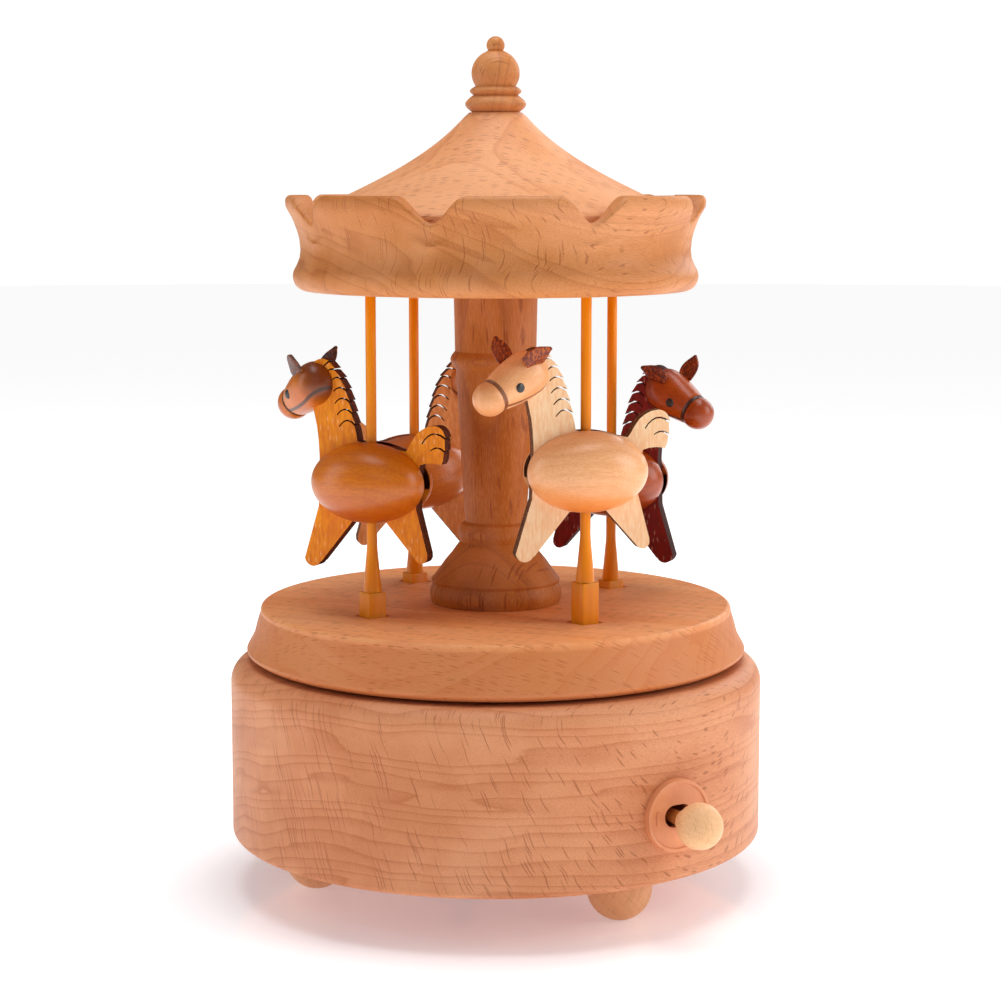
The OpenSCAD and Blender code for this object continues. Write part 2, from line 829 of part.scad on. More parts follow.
module board(index) {
    color(board_colours[index])
        horse_frame(index)
            difference() {
                translate([0, 0, -board_t / 2])
                    linear_extrude(board_t)
                        polygon(board_outline());
                translate([0, 10, 0])
                    rotate([-90, 0, 0])
                        cylinder(h = 25, r = pole_rod_r + 0.05, $fn = 48);
            }
}

// Turned half body on the outer side (-1) or the inner side (1) of the board
module half_body(index, side) {
    far = horse_body[0];
    deep = horse_body[1];
    color(body_colours[index])
        horse_frame(index)
            translate([0, body_y, side * board_t / 2])
                intersection() {
                    rotate([0, 90, 0])
                        rotate_extrude($fn = 72)
                            polygon(arc(0, 0, deep, far, -90, 90, 24));
                    translate([-20, -20, side > 0 ? 0 : -20])
                        cube([40, 40, 20]);
                }
}

module head(index) {
    color(body_colours[index])
        difference() {
            head_frame(index)
                rotate([0, 90, 0])
                    rotate_extrude($fn = 60)
                        polygon(concat(
                            arc(0, 0, 4.6, head_back, -90, 0, 6),
                            [[4.4, 3], [3.9, 5.2], [3.4, 6.8], [3.1, 7.2], [3.3, 7.8]],
                            arc(0, head_len - head_back - 3.4, 3.4, 3.4, 10, 90, 8)));
            horse_frame(index)
                translate([0, 0, -board_t / 2 - 0.05])
                    linear_extrude(board_t + 0.1)
                        polygon([[5, 32], [13.8, 32], [13.8, 49], [5, 49]]);
            for (side = [-1, 1])
                ear(index, side, 1.06, 0.7);
        }
}

// One leaf ear on the outer side (-1) or the inner side (1) of the head
module ear(index, side, grow, thick) {
    lean = ear_lean[index][side < 0 ? 0 : 1];
    head_frame(index)
        translate([1.2, 0, 0])
            rotate([side * 50, 0, 0])
                translate([0, 4.4, 0])
                    rotate([-side * 25, 0, 0])
                        rotate([0, side * 16, 0])
                            rotate([0, 0, lean])
                                scale([grow, grow, 1])
                                    translate([0, 0, -thick / 2])
                                        linear_extrude(thick)
                                            polygon([[-0.9, -0.3], [0.9, -0.3], [2, 2], [1.4, 3.9], [0, 6],
                                                     [-1.4, 3.9], [-2, 2]]);
}

module ears(index) {
    color(ear_colours[index])
        for (side = [-1, 1])
            ear(index, side, 1, 0.6);
}

base_housing();
track_floor();
base_hub();
bottom_plate();
bottom_screws();
foot(0);  // foot_right
foot(1);  // foot_back
foot(2);  // foot_left
lift_track();
spindle_bush();
thrust_washer();
switch_plate();
switch_pivot_pin();
switch_lever();
switch_knob();
movement_frame();
movement_screws();
comb();
comb_screws();
governor_frame();
spring_barrel();
mainspring();
winding_arbor();
winding_key();
music_cylinder();
cylinder_gear();
governor_wheel();
governor_fly();
drive_shaft();
turntable_gear();
platform();
column();
canopy_ring();
roof_cone();
finial();

// each horse's pole, board, two half bodies, head and ears
for (i = [0 : 3]) {
    pole(i);
    board(i);
    half_body(i, -1);
    half_body(i, 1);
    head(i);
    ears(i);
}
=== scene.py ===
import math

import bpy
from mathutils import Matrix, Vector


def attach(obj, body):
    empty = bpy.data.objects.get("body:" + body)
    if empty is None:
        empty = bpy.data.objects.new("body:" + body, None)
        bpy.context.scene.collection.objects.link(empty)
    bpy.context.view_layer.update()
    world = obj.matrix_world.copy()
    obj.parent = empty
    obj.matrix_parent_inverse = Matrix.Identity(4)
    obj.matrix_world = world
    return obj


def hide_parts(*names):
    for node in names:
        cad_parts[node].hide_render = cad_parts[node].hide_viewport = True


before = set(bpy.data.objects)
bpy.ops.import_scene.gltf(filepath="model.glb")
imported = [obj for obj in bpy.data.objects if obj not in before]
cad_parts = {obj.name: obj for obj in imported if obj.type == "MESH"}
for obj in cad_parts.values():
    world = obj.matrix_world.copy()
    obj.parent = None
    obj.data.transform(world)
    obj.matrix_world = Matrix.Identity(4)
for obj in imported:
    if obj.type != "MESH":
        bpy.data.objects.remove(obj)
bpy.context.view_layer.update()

mm = 0.001
poleRing = 30.5  # distance of the four poles from the axis, in millimetres


richness = 1.16


def tint(red, green, blue):
    # screen colour 0..255 to a linear colour for a shader socket, with deeper hues
    straight = [((c / 255 + 0.055) / 1.055) ** 2.4 if c > 10 else c / 255 / 12.92 for c in (red, green, blue)]
    grey = 0.21 * straight[0] + 0.72 * straight[1] + 0.07 * straight[2]
    return tuple(min(0.98, max(0.001, grey + (c - grey) * richness)) for c in straight) + (1,)


class Wire:
    def __init__(self, finish, socket):
        self.finish = finish
        self.socket = socket

    def math(self, operation, *others):
        inputs = {place: value for place, value in enumerate((self,) + others)}
        return self.finish.add("ShaderNodeMath", {"operation": operation}, inputs)

    def flipped(self, operation, other):
        return self.finish.add("ShaderNodeMath", {"operation": operation}, {0: other, 1: self})

    def __add__(self, other):
        return self.math("ADD", other)

    def __radd__(self, other):
        return self.math("ADD", other)

    def __sub__(self, other):
        return self.math("SUBTRACT", other)

    def __rsub__(self, other):
        return self.flipped("SUBTRACT", other)

    def __mul__(self, other):
        return self.math("MULTIPLY", other)

    def __rmul__(self, other):
        return self.math("MULTIPLY", other)

    def __truediv__(self, other):
        return self.math("DIVIDE", other)

    def __pow__(self, other):
        return self.math("POWER", other)

    def __abs__(self):
        return self.math("ABSOLUTE")

    def below(self, limit, soft=0.0001):
        # 1 well under the limit, 0 above it
        return self.finish.add("ShaderNodeMapRange", {"interpolation_type": "SMOOTHSTEP"},
                               {"Value": self, "From Min": limit - soft, "From Max": limit + soft,
                                "To Min": 1, "To Max": 0})

    def above(self, limit, soft=0.0001):
        return 1 - self.below(limit, soft)


class Finish:
    def __init__(self, name, **constants):
        self.material = bpy.data.materials.new(name)
        self.material.use_nodes = True
        self.tree = self.material.node_tree
        self.shader = self.tree.nodes["Principled BSDF"]
        for key, value in constants.items():
            self.shader.inputs[key.replace("_", " ")].default_value = value

    def add(self, kind, settings=None, inputs=None, out=0):
        node = self.tree.nodes.new(kind)
        for key, value in (settings or {}).items():
            if key == "stops":
                ramp = node.color_ramp
                while len(ramp.elements) < len(value):
                    ramp.elements.new(0.5)
                for element, (place, colour) in zip(ramp.elements, value):
                    element.position = place
                    element.color = colour if isinstance(colour, tuple) else (colour, colour, colour, 1)
            else:
                setattr(node, key, value)
        for key, value in (inputs or {}).items():
            if isinstance(value, Wire):
                self.tree.links.new(value.socket, node.inputs[key])
            else:
                node.inputs[key].default_value = value
        return Wire(self, node.outputs[out])

    def spot(self, rows, origin=(0, 0, 0)):
        # object place in millimetres, measured along three perpendicular directions from an origin
        turn = Matrix(rows).to_euler("XYZ")
        shift = -(Matrix(rows) @ Vector(origin)) * 1000
        coords = self.add("ShaderNodeTexCoord", out="Object")
        return self.add("ShaderNodeMapping", {"vector_type": "POINT"},
                        {"Vector": coords, "Location": shift, "Rotation": turn, "Scale": (1000, 1000, 1000)})

    def axes(self, vector):
        node = self.add("ShaderNodeSeparateXYZ", None, {0: vector}).socket.node
        return [Wire(self, node.outputs[place]) for place in range(3)]

    def stretch(self, vector, sizes):
        return self.add("ShaderNodeVectorMath", {"operation": "MULTIPLY"},
                        {0: vector, 1: tuple(1 / size for size in sizes)})

    def noise(self, vector, detail=2, rough=0.5, scale=1):
        return self.add("ShaderNodeTexNoise", {"noise_dimensions": "3D"},
                        {"Vector": vector, "Scale": scale, "Detail": detail, "Roughness": rough})

    def mix(self, first, second, factor, blend="MIX"):
        return self.add("ShaderNodeMix", {"data_type": "RGBA", "blend_type": blend, "clamp_factor": True},
                        {0: factor, 6: first, 7: second}, out=2)

    def ramp(self, factor, stops):
        return self.add("ShaderNodeValToRGB", {"stops": stops}, {0: factor})

    def feed(self, **links):
        for key, wire in links.items():
            self.tree.links.new(wire.socket, self.shader.inputs[key.replace("_", " ")])
        return self.material

    def bump(self, height, strength=0.2, distance=0.0002):
        return self.add("ShaderNodeBump", None, {"Strength": strength, "Distance": distance, "Height": height})


def grainRows(along, ringUp):
    # perpendicular directions: along the grain, along the rings, across the rings
    lengthways = Vector(along).normalized()
    across = Vector(ringUp)
    across = (across - lengthways * across.dot(lengthways)).normalized()
    return (lengthways, across.cross(lengthways), across)


beechLook = {
    "light": tint(214, 150, 114),
    "dark": tint(172, 98, 62),
    "fleck": tint(132, 66, 38),
    "pale": tint(228, 174, 140),
}


def beech(name, along, ringUp, pith=(0, 0, -0.15), spacing=2.6, ringDepth=0.55, fleckDepth=0.5,
          fleckShare=0.3, fleckSize=(2.6, 0.26, 12), light=None, dark=None, curl=0.8, rough=0.45, mottle=0.35,
          paintedSideShadeBelow=None):
    finish = Finish(name, Roughness=rough, Specular_IOR_Level=0.22, Coat_Roughness=0.35)
    rows = grainRows(along, ringUp)
    spot = finish.spot(rows)
    lengthways, sideways, upways = finish.axes(spot)
    pithHere = Matrix(rows) @ Vector(pith) * 1000
    sway = finish.noise(finish.stretch(spot, (70, 26, 26)), detail=2, rough=0.45)
    reach = ((sideways - pithHere[1]) ** 2 + (upways - pithHere[2]) ** 2) ** 0.5
    years = finish.add("ShaderNodeTexNoise", {"noise_dimensions": "1D"},
                       {"W": reach, "Scale": 0.13, "Detail": 2, "Roughness": 0.6})
    phase = reach / spacing + (sway - 0.5) * (curl * 4) + (years - 0.5) * 3.2
    step = phase.math("FRACT")
    ring = finish.ramp(step, [(0, 0.05), (0.1, 0.0), (0.62, 0.18), (0.86, 0.62), (0.94, 1.0), (1.0, 0.1)])
    # rays: thin dashes along the grain that run deep across the rings
    drift = finish.noise(finish.stretch(spot, (30, 5, 5)), detail=1)
    bent = finish.add("ShaderNodeVectorMath", {"operation": "ADD"},
                      {0: spot, 1: finish.add("ShaderNodeCombineXYZ", None, {0: 0, 1: drift * 1.1, 2: 0})})
    cells = finish.add("ShaderNodeTexVoronoi", {"feature": "F1"},
                       {"Vector": finish.stretch(bent, fleckSize), "Scale": 1, "Randomness": 1})
    chance = finish.axes(Wire(finish, cells.socket.node.outputs["Color"]))[0]
    fleck = cells.below(0.34, 0.12) * chance.below(fleckShare)
    # pores: the very fine texture
    pores = finish.noise(finish.stretch(bent, (2.2, 0.14, 0.16)), detail=2, rough=0.6)
    cloud = finish.noise(finish.stretch(spot, (38, 15, 15)), detail=3, rough=0.5)
    colour = finish.mix(light or beechLook["light"], dark or beechLook["dark"], ring * ringDepth)
    colour = finish.mix(colour, beechLook["pale"], cloud.above(0.56, 0.2) * mottle)
    colour = finish.mix(colour, dark or beechLook["dark"], cloud.below(0.42, 0.16) * mottle)
    colour = finish.mix(colour, beechLook["fleck"], fleck * fleckDepth)
    colour = finish.mix(colour, beechLook["fleck"], pores.below(0.42, 0.1) * 0.22)
    colour = finish.mix(colour, beechLook["pale"], pores.above(0.6, 0.1) * 0.2)
    if paintedSideShadeBelow is not None:
        # painted shade: below this height the turned side is darkened, standing in for the shadow the top light leaves
        # on it
        rise = finish.axes(finish.spot(((1, 0, 0), (0, 1, 0), (0, 0, 1))))[2]
        colour = finish.mix(colour, beechLook["dark"], rise.below(paintedSideShadeBelow, 1.2) * 0.62)
    height = pores * 0.5 + ring * 0.2 - fleck * 0.4
    return finish.feed(Base_Color=colour, Roughness=pores * 0.14 + (rough - 0.07),
                       Normal=finish.bump(height, 0.25, 0.00008))


def deselect():
    if bpy.context.mode != "OBJECT":
        bpy.ops.object.mode_set(mode="OBJECT")
    bpy.ops.object.select_all(action="DESELECT")


def choose(piece):
    deselect()
    piece.select_set(True)
    bpy.context.view_layer.objects.active = piece


def drawLine(name, points):
    # one vertex of a plane, extruded along the points; leaves edit mode on
    deselect()
    bpy.ops.mesh.primitive_plane_add(size=mm, location=(0, 0, 0))
    piece = bpy.context.object
    piece.name = name
    piece.data.name = name
    bpy.ops.object.mode_set(mode="EDIT")
    bpy.ops.mesh.merge(type="CENTER")
    bpy.ops.transform.translate(value=points[0])
    for here, there in zip(points, points[1:]):
        step = [b - a for a, b in zip(here, there)]
        bpy.ops.mesh.extrude_region_move(TRANSFORM_OT_translate={"value": step})
    return piece


def turned(name, profile, steps=120, smooth=40):
    # a turned shape from (radius, height) in millimetres, spun about the upright axis
    piece = drawLine(name, [(r * mm, 0, z * mm) for r, z in profile])
    bpy.ops.mesh.select_all(action="SELECT")
    bpy.ops.mesh.spin(steps=steps, angle=math.tau, center=(0, 0, 0), axis=(0, 0, 1))
    bpy.ops.mesh.select_all(action="SELECT")
    bpy.ops.mesh.remove_doubles(threshold=0.004 * mm)
    bpy.ops.mesh.dissolve_degenerate(threshold=0.002 * mm)
    bpy.ops.mesh.normals_make_consistent(inside=False)
    bpy.ops.object.mode_set(mode="OBJECT")
    smoothen(piece, smooth)
    return piece


def smoothen(piece, angle=40):
    choose(piece)
    bpy.ops.object.shade_smooth_by_angle(angle=math.radians(angle))


def place(piece, matrix):
    choose(piece)
    piece.matrix_world = matrix
    bpy.ops.object.transform_apply(location=True, rotation=True, scale=True)
    if matrix.determinant() < 0:
        bpy.ops.object.mode_set(mode="EDIT")
        bpy.ops.mesh.select_all(action="SELECT")
        bpy.ops.mesh.flip_normals()
        bpy.ops.object.mode_set(mode="OBJECT")
    return piece


def copied(piece, name):
    twin = piece.copy()
    twin.data = piece.data.copy()
    twin.name = name
    twin.data.name = name
    bpy.context.scene.collection.objects.link(twin)
    return twin


def joined(pieces, name):
    choose(pieces[0])
    for piece in pieces:
        piece.select_set(True)
    bpy.ops.object.join()
    pieces[0].name = name
    pieces[0].data.name = name
    return pieces[0]


def cutAway(piece, cutters):
    cutter = joined(cutters, "cutter") if len(cutters) > 1 else cutters[0]
    choose(piece)
    tool = piece.modifiers.new("cut", "BOOLEAN")
    tool.operation = "DIFFERENCE"
    tool.solver = "EXACT"
    tool.object = cutter
    bpy.ops.object.modifier_apply(modifier="cut")
    bpy.data.objects.remove(cutter)
    return piece


def softEdges(piece, width, angle=35, segments=3):
    choose(piece)
    tool = piece.modifiers.new("soft", "BEVEL")
    tool.width = width * mm
    tool.segments = segments
    tool.limit_method = "ANGLE"
    tool.angle_limit = math.radians(angle)
    tool.harden_normals = False
    bpy.ops.object.modifier_apply(modifier="soft")
    return piece


def post(radius, bottom, top, x=0, y=0, steps=48):
    # a plain round cutter
    deselect()
    bpy.ops.mesh.primitive_cylinder_add(vertices=steps, radius=radius * mm, depth=(top - bottom) * mm,
                                        location=(x * mm, y * mm, (top + bottom) / 2 * mm))
    piece = bpy.context.object
    bpy.ops.object.transform_apply(location=True, rotation=True, scale=True)
    return piece


def block(size, centre, name="block"):
    deselect()
    bpy.ops.mesh.primitive_cube_add(size=1, location=[c * mm for c in centre])
    piece = bpy.context.object
    piece.name = name
    piece.scale = [s * mm for s in size]
    bpy.ops.object.transform_apply(location=True, rotation=True, scale=True)
    return piece


def arc(centreR, centreZ, sizeR, sizeZ, start, stop, count):
    return [(centreR + sizeR * math.cos(math.radians(start + (stop - start) * i / count)),
             centreZ + sizeZ * math.sin(math.radians(start + (stop - start) * i / count))) for i in range(count + 1)]


def bead(bottom, top, neck, swell, count=14):
    return [(neck + swell * math.sin(math.pi * i / count), bottom + (top - bottom) * i / count)
            for i in range(count + 1)]


def eased(points, radius, count=4):
    # rounds the corners of an outline by the given radius where there is room
    out = [points[0]]
    for before, corner, after in zip(points, points[1:], points[2:]):
        inward, outward = Vector(before) - Vector(corner), Vector(after) - Vector(corner)
        if inward.length < 1e-6 or outward.length < 1e-6:
            out.append(corner)
            continue
        bend = math.pi - inward.angle(outward)
        if bend < math.radians(18):
            out.append(corner)
            continue
        reach = min(radius * math.tan(bend / 2), inward.length * 0.45, outward.length * 0.45)
        first = Vector(corner) + inward.normalized() * reach
        last = Vector(corner) + outward.normalized() * reach
        for i in range(count + 1):
            t = i / count
            spot = first * (1 - t) ** 2 + Vector(corner) * (2 * t * (1 - t)) + last * t ** 2
            out.append((spot.x, spot.y))
    out.append(points[-1])
    return out


def azimuthTurn(azimuth):
    return Matrix.Rotation(math.radians(azimuth), 4, "Z")


def finishPiece(piece, material, body, slot, *replaced):
    piece.data.materials.clear()
    piece.data.materials.append(material)
    hold(piece, body, slot, *replaced)


def hold(piece, body, slot, *replaced):
    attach(piece, body)
    if replaced:
        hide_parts(*replaced)


print("camera and light")
camera = bpy.data.objects.new("camera", bpy.data.cameras.new("camera"))
bpy.context.scene.collection.objects.link(camera)
camera.data.lens = 86.31
camera.data.sensor_width = 36
camera.location = (0, -0.49443, 0.14599)
camera.rotation_euler = (math.radians(82.431), 0, -0.002)
camera.data.clip_start = 0.01
bpy.context.scene.camera = camera

light = {
    "key": {"at": (0.70, -0.16, 0.34), "size": (0.4, 0.5), "power": 2.4, "aim": (0, 0, 0.07)},
    "left": {"at": (-0.70, -0.10, 0.30), "size": (0.3, 0.6), "power": 1.1, "aim": (0, 0, 0.07)},
    "front": {"at": (-0.15, -0.85, 0.50), "size": (0.7, 0.4), "power": 0.4, "aim": (0, 0, 0.06)},
    "top": {"at": (0.0, 0.0, 0.8), "size": (0.5, 0.5), "power": 4.0, "aim": (0, 0, 0.1)},
    "back": {"at": (0.45, 0.55, 0.40), "size": (0.5, 0.5), "power": 1.9, "aim": (0, 0, 0.08)},
}
for name, lamp in light.items():
    data = bpy.data.lights.new(name, "AREA")
    data.shape = "RECTANGLE"
    data.size, data.size_y = lamp["size"]
    data.energy = lamp["power"]
    lampObject = bpy.data.objects.new(name, data)
    bpy.context.scene.collection.objects.link(lampObject)
    lampObject.location = lamp["at"]
    lampObject.rotation_euler = (Vector(lamp["at"]) - Vector(lamp["aim"])).to_track_quat("Z", "Y").to_euler()

world = bpy.data.worlds.new("studio")
world.use_nodes = True
world.node_tree.nodes["Background"].inputs["Color"].default_value = (1, 1, 1, 1)
worldStrength = 0.15
paths = world.node_tree.nodes.new("ShaderNodeLightPath")
lift = world.node_tree.nodes.new("ShaderNodeMapRange")
lift.inputs["To Min"].default_value = worldStrength
lift.inputs["To Max"].default_value = 1.05
world.node_tree.links.new(paths.outputs["Is Camera Ray"], lift.inputs["Value"])
world.node_tree.links.new(lift.outputs["Result"], world.node_tree.nodes["Background"].inputs["Strength"])
bpy.context.scene.world = world
bpy.context.scene.view_settings.view_transform = "Standard"
bpy.context.scene.view_settings.look = "None"

deselect()
bpy.ops.mesh.primitive_circle_add(vertices=96, radius=3, fill_type="NGON", location=(0, 0, 0))
floor = bpy.context.object
floor.name = "floor"
floorFinish = Finish("floorFinish", Base_Color=(0.93, 0.93, 0.94, 1), Roughness=0.1, IOR=1.5, Emission_Strength=0.8)
floorEast, floorNorth = floorFinish.axes(floorFinish.spot(((1, 0, 0), (0, 1, 0), (0, 0, 1))))[:2]
floorReach = (floorEast ** 2 + floorNorth ** 2) ** 0.5
# the floor glows white, but its glow is dimmed to grey near the base: painted shadow under the carousel
floorGlowPaintedShadow = floorFinish.mix((0.3, 0.29, 0.32, 1), (1, 1, 1, 1), floorReach.above(76, 40))
floor.data.materials.append(floorFinish.feed(Emission_Color=floorGlowPaintedShadow))


print("turned parts")
baseWood = beech("baseBeech", along=(math.sin(math.radians(-42)), -math.cos(math.radians(-42)), 0),
                 ringUp=(-0.36 * math.sin(math.radians(75)), 0.36 * math.cos(math.radians(75)), 1),
                 pith=(0.03, 0, -0.16), spacing=2.6)
# the platform's turned side below its top gets painted shade
platformWood = beech("platformBeech", along=(0.9, -0.42, 0.0), ringUp=(-0.35, -0.75, 0.55), pith=(0.0, 0.12, -0.12),
                     spacing=3.4, ringDepth=0.45, light=tint(250, 176, 126), dark=tint(216, 124, 74),
                     paintedSideShadeBelow=58.4)
# the column's colours are darker than the other beech: partly its own tone, partly painted shade from the canopy above
shadedColumnWood = beech("columnBeech", along=(0, 0.02, 1), ringUp=(0.5, 0.85, 0), pith=(0.02, 0.05, 0), spacing=3.0,
                   fleckSize=(6, 0.5, 8), fleckDepth=0.6, fleckShare=0.25,
                   light=tint(184, 110, 54), dark=tint(134, 66, 24), rough=0.5)
canopyWood = beech("canopyBeech", along=(math.sin(math.radians(-50)), -math.cos(math.radians(-50)), 0.05),
                   ringUp=(0.28, 0.2, 1), pith=(-0.05, 0, 0.02), spacing=4.2, ringDepth=0.5,
                   light=tint(202, 136, 88), dark=tint(160, 88, 46))
roofWood = beech("roofBeech", along=(0.95, -0.25, 0.1), ringUp=(0.1, -0.5, 0.9), pith=(0.03, 0.06, 0.05), spacing=5.5,
                 ringDepth=0.42, light=tint(236, 174, 132), dark=tint(196, 120, 76), fleckSize=(2.6, 0.3, 9))
finialWood = beech("finialBeech", along=(0.2, -0.3, 1), ringUp=(1, 0.2, 0), pith=(0.05, 0.03, 0), spacing=2.8,
                   light=tint(202, 134, 82), dark=tint(156, 84, 44))
plateWood = beech("plateBeech", along=(1, 0.3, 0), ringUp=(0, 0.2, 1), spacing=3)

base = {"radius": 55.2, "bottom": 11.3, "top": 47.8, "topRound": 4.3, "trackIn": 26.5, "trackOut": 40}
wide, low, high, soft = base["radius"], base["bottom"], base["top"], base["topRound"]
baseProfile = ([(50, low)] + arc(wide - 1.4, low + 1.4, 1.4, 1.4, -90, 0, 8) + [(wide, 20), (wide, 30), (wide, 38)]
               + arc(wide - soft, high - soft, soft, soft, 0, 90, 20)
               + [(base["trackOut"], high), (base["trackOut"], 39), (base["trackIn"], 39), (base["trackIn"], high),
                  (4, high), (4, 36), (44, 36), (44, 14.3), (50, 14.3), (50, low)])
basePiece = turned("baseHousing", eased(baseProfile, 0.35), steps=192)

switch = {"at": (35.2, -44.6, 25), "turn": 31, "radius": 7.1, "hole": 4.3}
switchPlace = (Matrix.Translation([c * mm for c in switch["at"]]) @ azimuthTurn(switch["turn"])
               @ Matrix.Rotation(math.radians(90), 4, "X"))
hole = post(switch["hole"], -18, 4)
place(hole, switchPlace)
cutAway(basePiece, [hole])
screwHoles = []
for i in range(3):
    turn = math.radians(100 + 120 * i)
    screwHoles.append(post(1.0, 14.2, 20.9, 47 * math.sin(turn), -47 * math.cos(turn), 24))
cutAway(basePiece, screwHoles)
smoothen(basePiece, 32)
finishPiece(basePiece, baseWood, "base", "beech", "base_housing", "track_floor", "base_hub")

footProfile = [(0, 0), (2.2, 0)] + arc(0, 6.2, 6.6, 6.6, -69, 51, 30) + [(2.45, 11.3), (2.45, 14.0), (0, 14.0)]
footMaster = turned("footMaster", footProfile, steps=72)
paleWood = beech("paleMaple", along=(0.2, -1, 0.35), ringUp=(0.5, 0.3, 1), pith=(0.05, 0, 0.03), spacing=1.6,
                 ringDepth=0.3, fleckDepth=0.25, light=tint(240, 190, 148), dark=tint(214, 152, 108), mottle=0.4)
for name, azimuth in (("foot_right", 40.5), ("foot_back", 160.5), ("foot_left", 280.5)):
    foot = copied(footMaster, name.replace("_", "") + "Ball")
    place(foot, azimuthTurn(azimuth) @ Matrix.Translation((0, -38 * mm, 0)))
    finishPiece(foot, paleWood, "base", "pale_wood", name)
bpy.data.objects.remove(footMaster)

platformProfile = ([(2, 48.5), (50.2, 48.5), (51.3, 49.2)] + arc(51.1, 50.1, 0.7, 0.9, -70, 10, 8)
                   + [(50.3, 53), (49.5, 56), (48.9, 57.8)] + arc(47.9, 58.2, 1, 1, 0, 90, 8)
                   + [(30, 59.2), (5, 59.2), (5, 52.5), (2, 52.5), (2, 48.5)])
platformPiece = turned("platformDisc", eased(platformProfile, 0.3), steps=192)
poleAzimuths = [35.5 - 90 * i for i in range(4)]
holes = []
for azimuth in poleAzimuths:
    hole = block((5.4, 5.4, 14), (0, -poleRing, 54))
    place(hole, azimuthTurn(azimuth))
    holes.append(hole)
cutAway(platformPiece, holes)
smoothen(platformPiece, 32)
finishPiece(platformPiece, platformWood, "turntable", "beech", "platform")

columnProfile = ([(2, 52.5), (4.95, 52.5), (4.95, 59.2)] + bead(59.2, 63, 13.3, 0.45) + [(13.1, 63.3), (13.45, 64)]
                 + [(12.9, 64.6), (12.0, 65.8), (10.6, 67.8), (9.1, 69.6), (7.8, 71.4)] + bead(71.9, 75.6, 7.2, 0.55)
                 + [(6.25, 76.1), (6.45, 78), (6.9, 84), (7.35, 93), (7.8, 101), (8.15, 107.6)]
                 + bead(108, 111.4, 8.4, 0.95) + [(8.4, 111.9), (8.5, 117), (8.65, 124), (4.95, 124), (4.95, 131),
                                                  (0, 131)])
columnPiece = turned("columnTurned", eased(columnProfile, 0.2) + [(0, 61.5), (2, 61.5), (2, 52.5)], steps=128)
finishPiece(columnPiece, shadedColumnWood, "turntable", "beech", "column")

canopy = {"rim": 143.3, "dip": 5.2, "halfWidth": 7.4, "count": 8, "azimuth": 27.3, "low": 131.5}
outerWall = arc(38.9, 126.9, 2.6, 2.9, -80, 40, 16) + [(40.5, 129.6), (40.1, 130.6), (39.9, 132.2), (40.1, 134.4),
                                                       (40.4, 135.6), (40.8, 136.8), (41.2, 137.9), (41.7, 139),
                                                       (42.3, 140), (42.8, 141)]
rimShape = arc(41.8, 142.1, 1.1, 1.2, 0, 90, 8) + [(40.6, 143.3)] + arc(39.3, 142.4, 0.9, 0.9, 90, 180, 8)
canopyProfile = ([(5, 124), (38, 124)] + outerWall + rimShape
                 + [(38.4, 141), (38.4, 139.6), (38.4, 138.2), (38.4, 136.5), (36.8, 136.5), (36.8, 131), (5, 131),
                    (5, 124)])
canopyPiece = turned("canopyRing", canopyProfile, steps=288)


def outerRadius(height):
    # radius of the canopy's outer wall at a height in millimetres
    wall = [(40.1, 130.6), (39.9, 132.2), (40.1, 134.4), (40.4, 135.6), (40.8, 136.8), (41.2, 137.9), (41.7, 139),
            (42.3, 140), (42.8, 141), (42.9, 142.1), (42.9, 144)]
    for (r0, z0), (r1, z1) in zip(wall, wall[1:]):
        if z0 <= height <= z1:
            return r0 + (r1 - r0) * (height - z0) / (z1 - z0)
    return wall[0][0] if height < wall[0][1] else wall[-1][0]


def scallop(azimuth, radius):
    # how far the rim is cut down at an azimuth, in millimetres
    period = 360 / canopy["count"]
    offset = (azimuth - canopy["azimuth"] + period / 2) % period - period / 2
    across = radius * math.sin(math.radians(offset))
    if abs(across) > canopy["halfWidth"]:
        return 0
    return canopy["dip"] * (1 + math.cos(math.pi * across / canopy["halfWidth"])) / 2


# the rim is sawn down in scallops: each upright line of the wall is shortened to the cut's height
for vertex in canopyPiece.data.vertices:
    spot = vertex.co / mm
    radius = math.hypot(spot.x, spot.y)
    if radius < 38 or spot.z < canopy["low"]:
        continue
    azimuth = math.degrees(math.atan2(spot.x, -spot.y))
    drop = scallop(azimuth, radius)
    if drop <= 0:
        continue
    cutTop = canopy["rim"] - drop
    share = (spot.z - canopy["low"]) / (canopy["rim"] - canopy["low"])
    height = spot.z - drop * min(1, share)
    if spot.z > canopy["rim"] - 1.3:
        height = spot.z - drop
    inward = radius
    if radius > 40.7:
        here, there = outerRadius(spot.z), outerRadius(min(height, cutTop))
        inward = radius - (here - there)
    elif radius > 38.5 and spot.z > canopy["rim"] - 0.01:
        here, there = outerRadius(canopy["rim"]), outerRadius(cutTop)
        inward = radius - (here - there) * (radius - 38.4) / 3.4
    vertex.co = (spot.x * inward / radius * mm, spot.y * inward / radius * mm, height * mm)
canopyPiece.data.update()
rodHoles = []
for azimuth in poleAzimuths:
    turn = math.radians(azimuth)
    rodHoles.append(post(1.35, 123, 132, poleRing * math.sin(turn), -poleRing * math.cos(turn), 32))
cutAway(canopyPiece, rodHoles)
smoothen(canopyPiece, 38)
finishPiece(canopyPiece, canopyWood, "turntable", "beech", "canopy_ring")


def roofHeight(radius):
    return 139.7 + 0.42 * (38 - radius) + 6.6 * math.exp(-(radius - 5.6) / 9)


roofProfile = ([(2.45, 137), (poleRing - 2.4, 137), (poleRing - 2.4, 140.6), (poleRing + 2.4, 140.6),
                (poleRing + 2.4, 137), (36.4, 137), (36.4, 136.5),
                (38.2, 136.5)] + arc(37.9, 139.1, 0.3, 0.6, 0, 80, 4)
               + [(r / 10, roofHeight(r / 10)) for r in range(378, 56, -9)] + [(5.4, 159.9), (2.45, 159.9),
                                                                               (2.45, 137)])
roofPiece = turned("roofCone", roofProfile, steps=192)
finishPiece(roofPiece, roofWood, "turntable", "beech", "roof_cone")

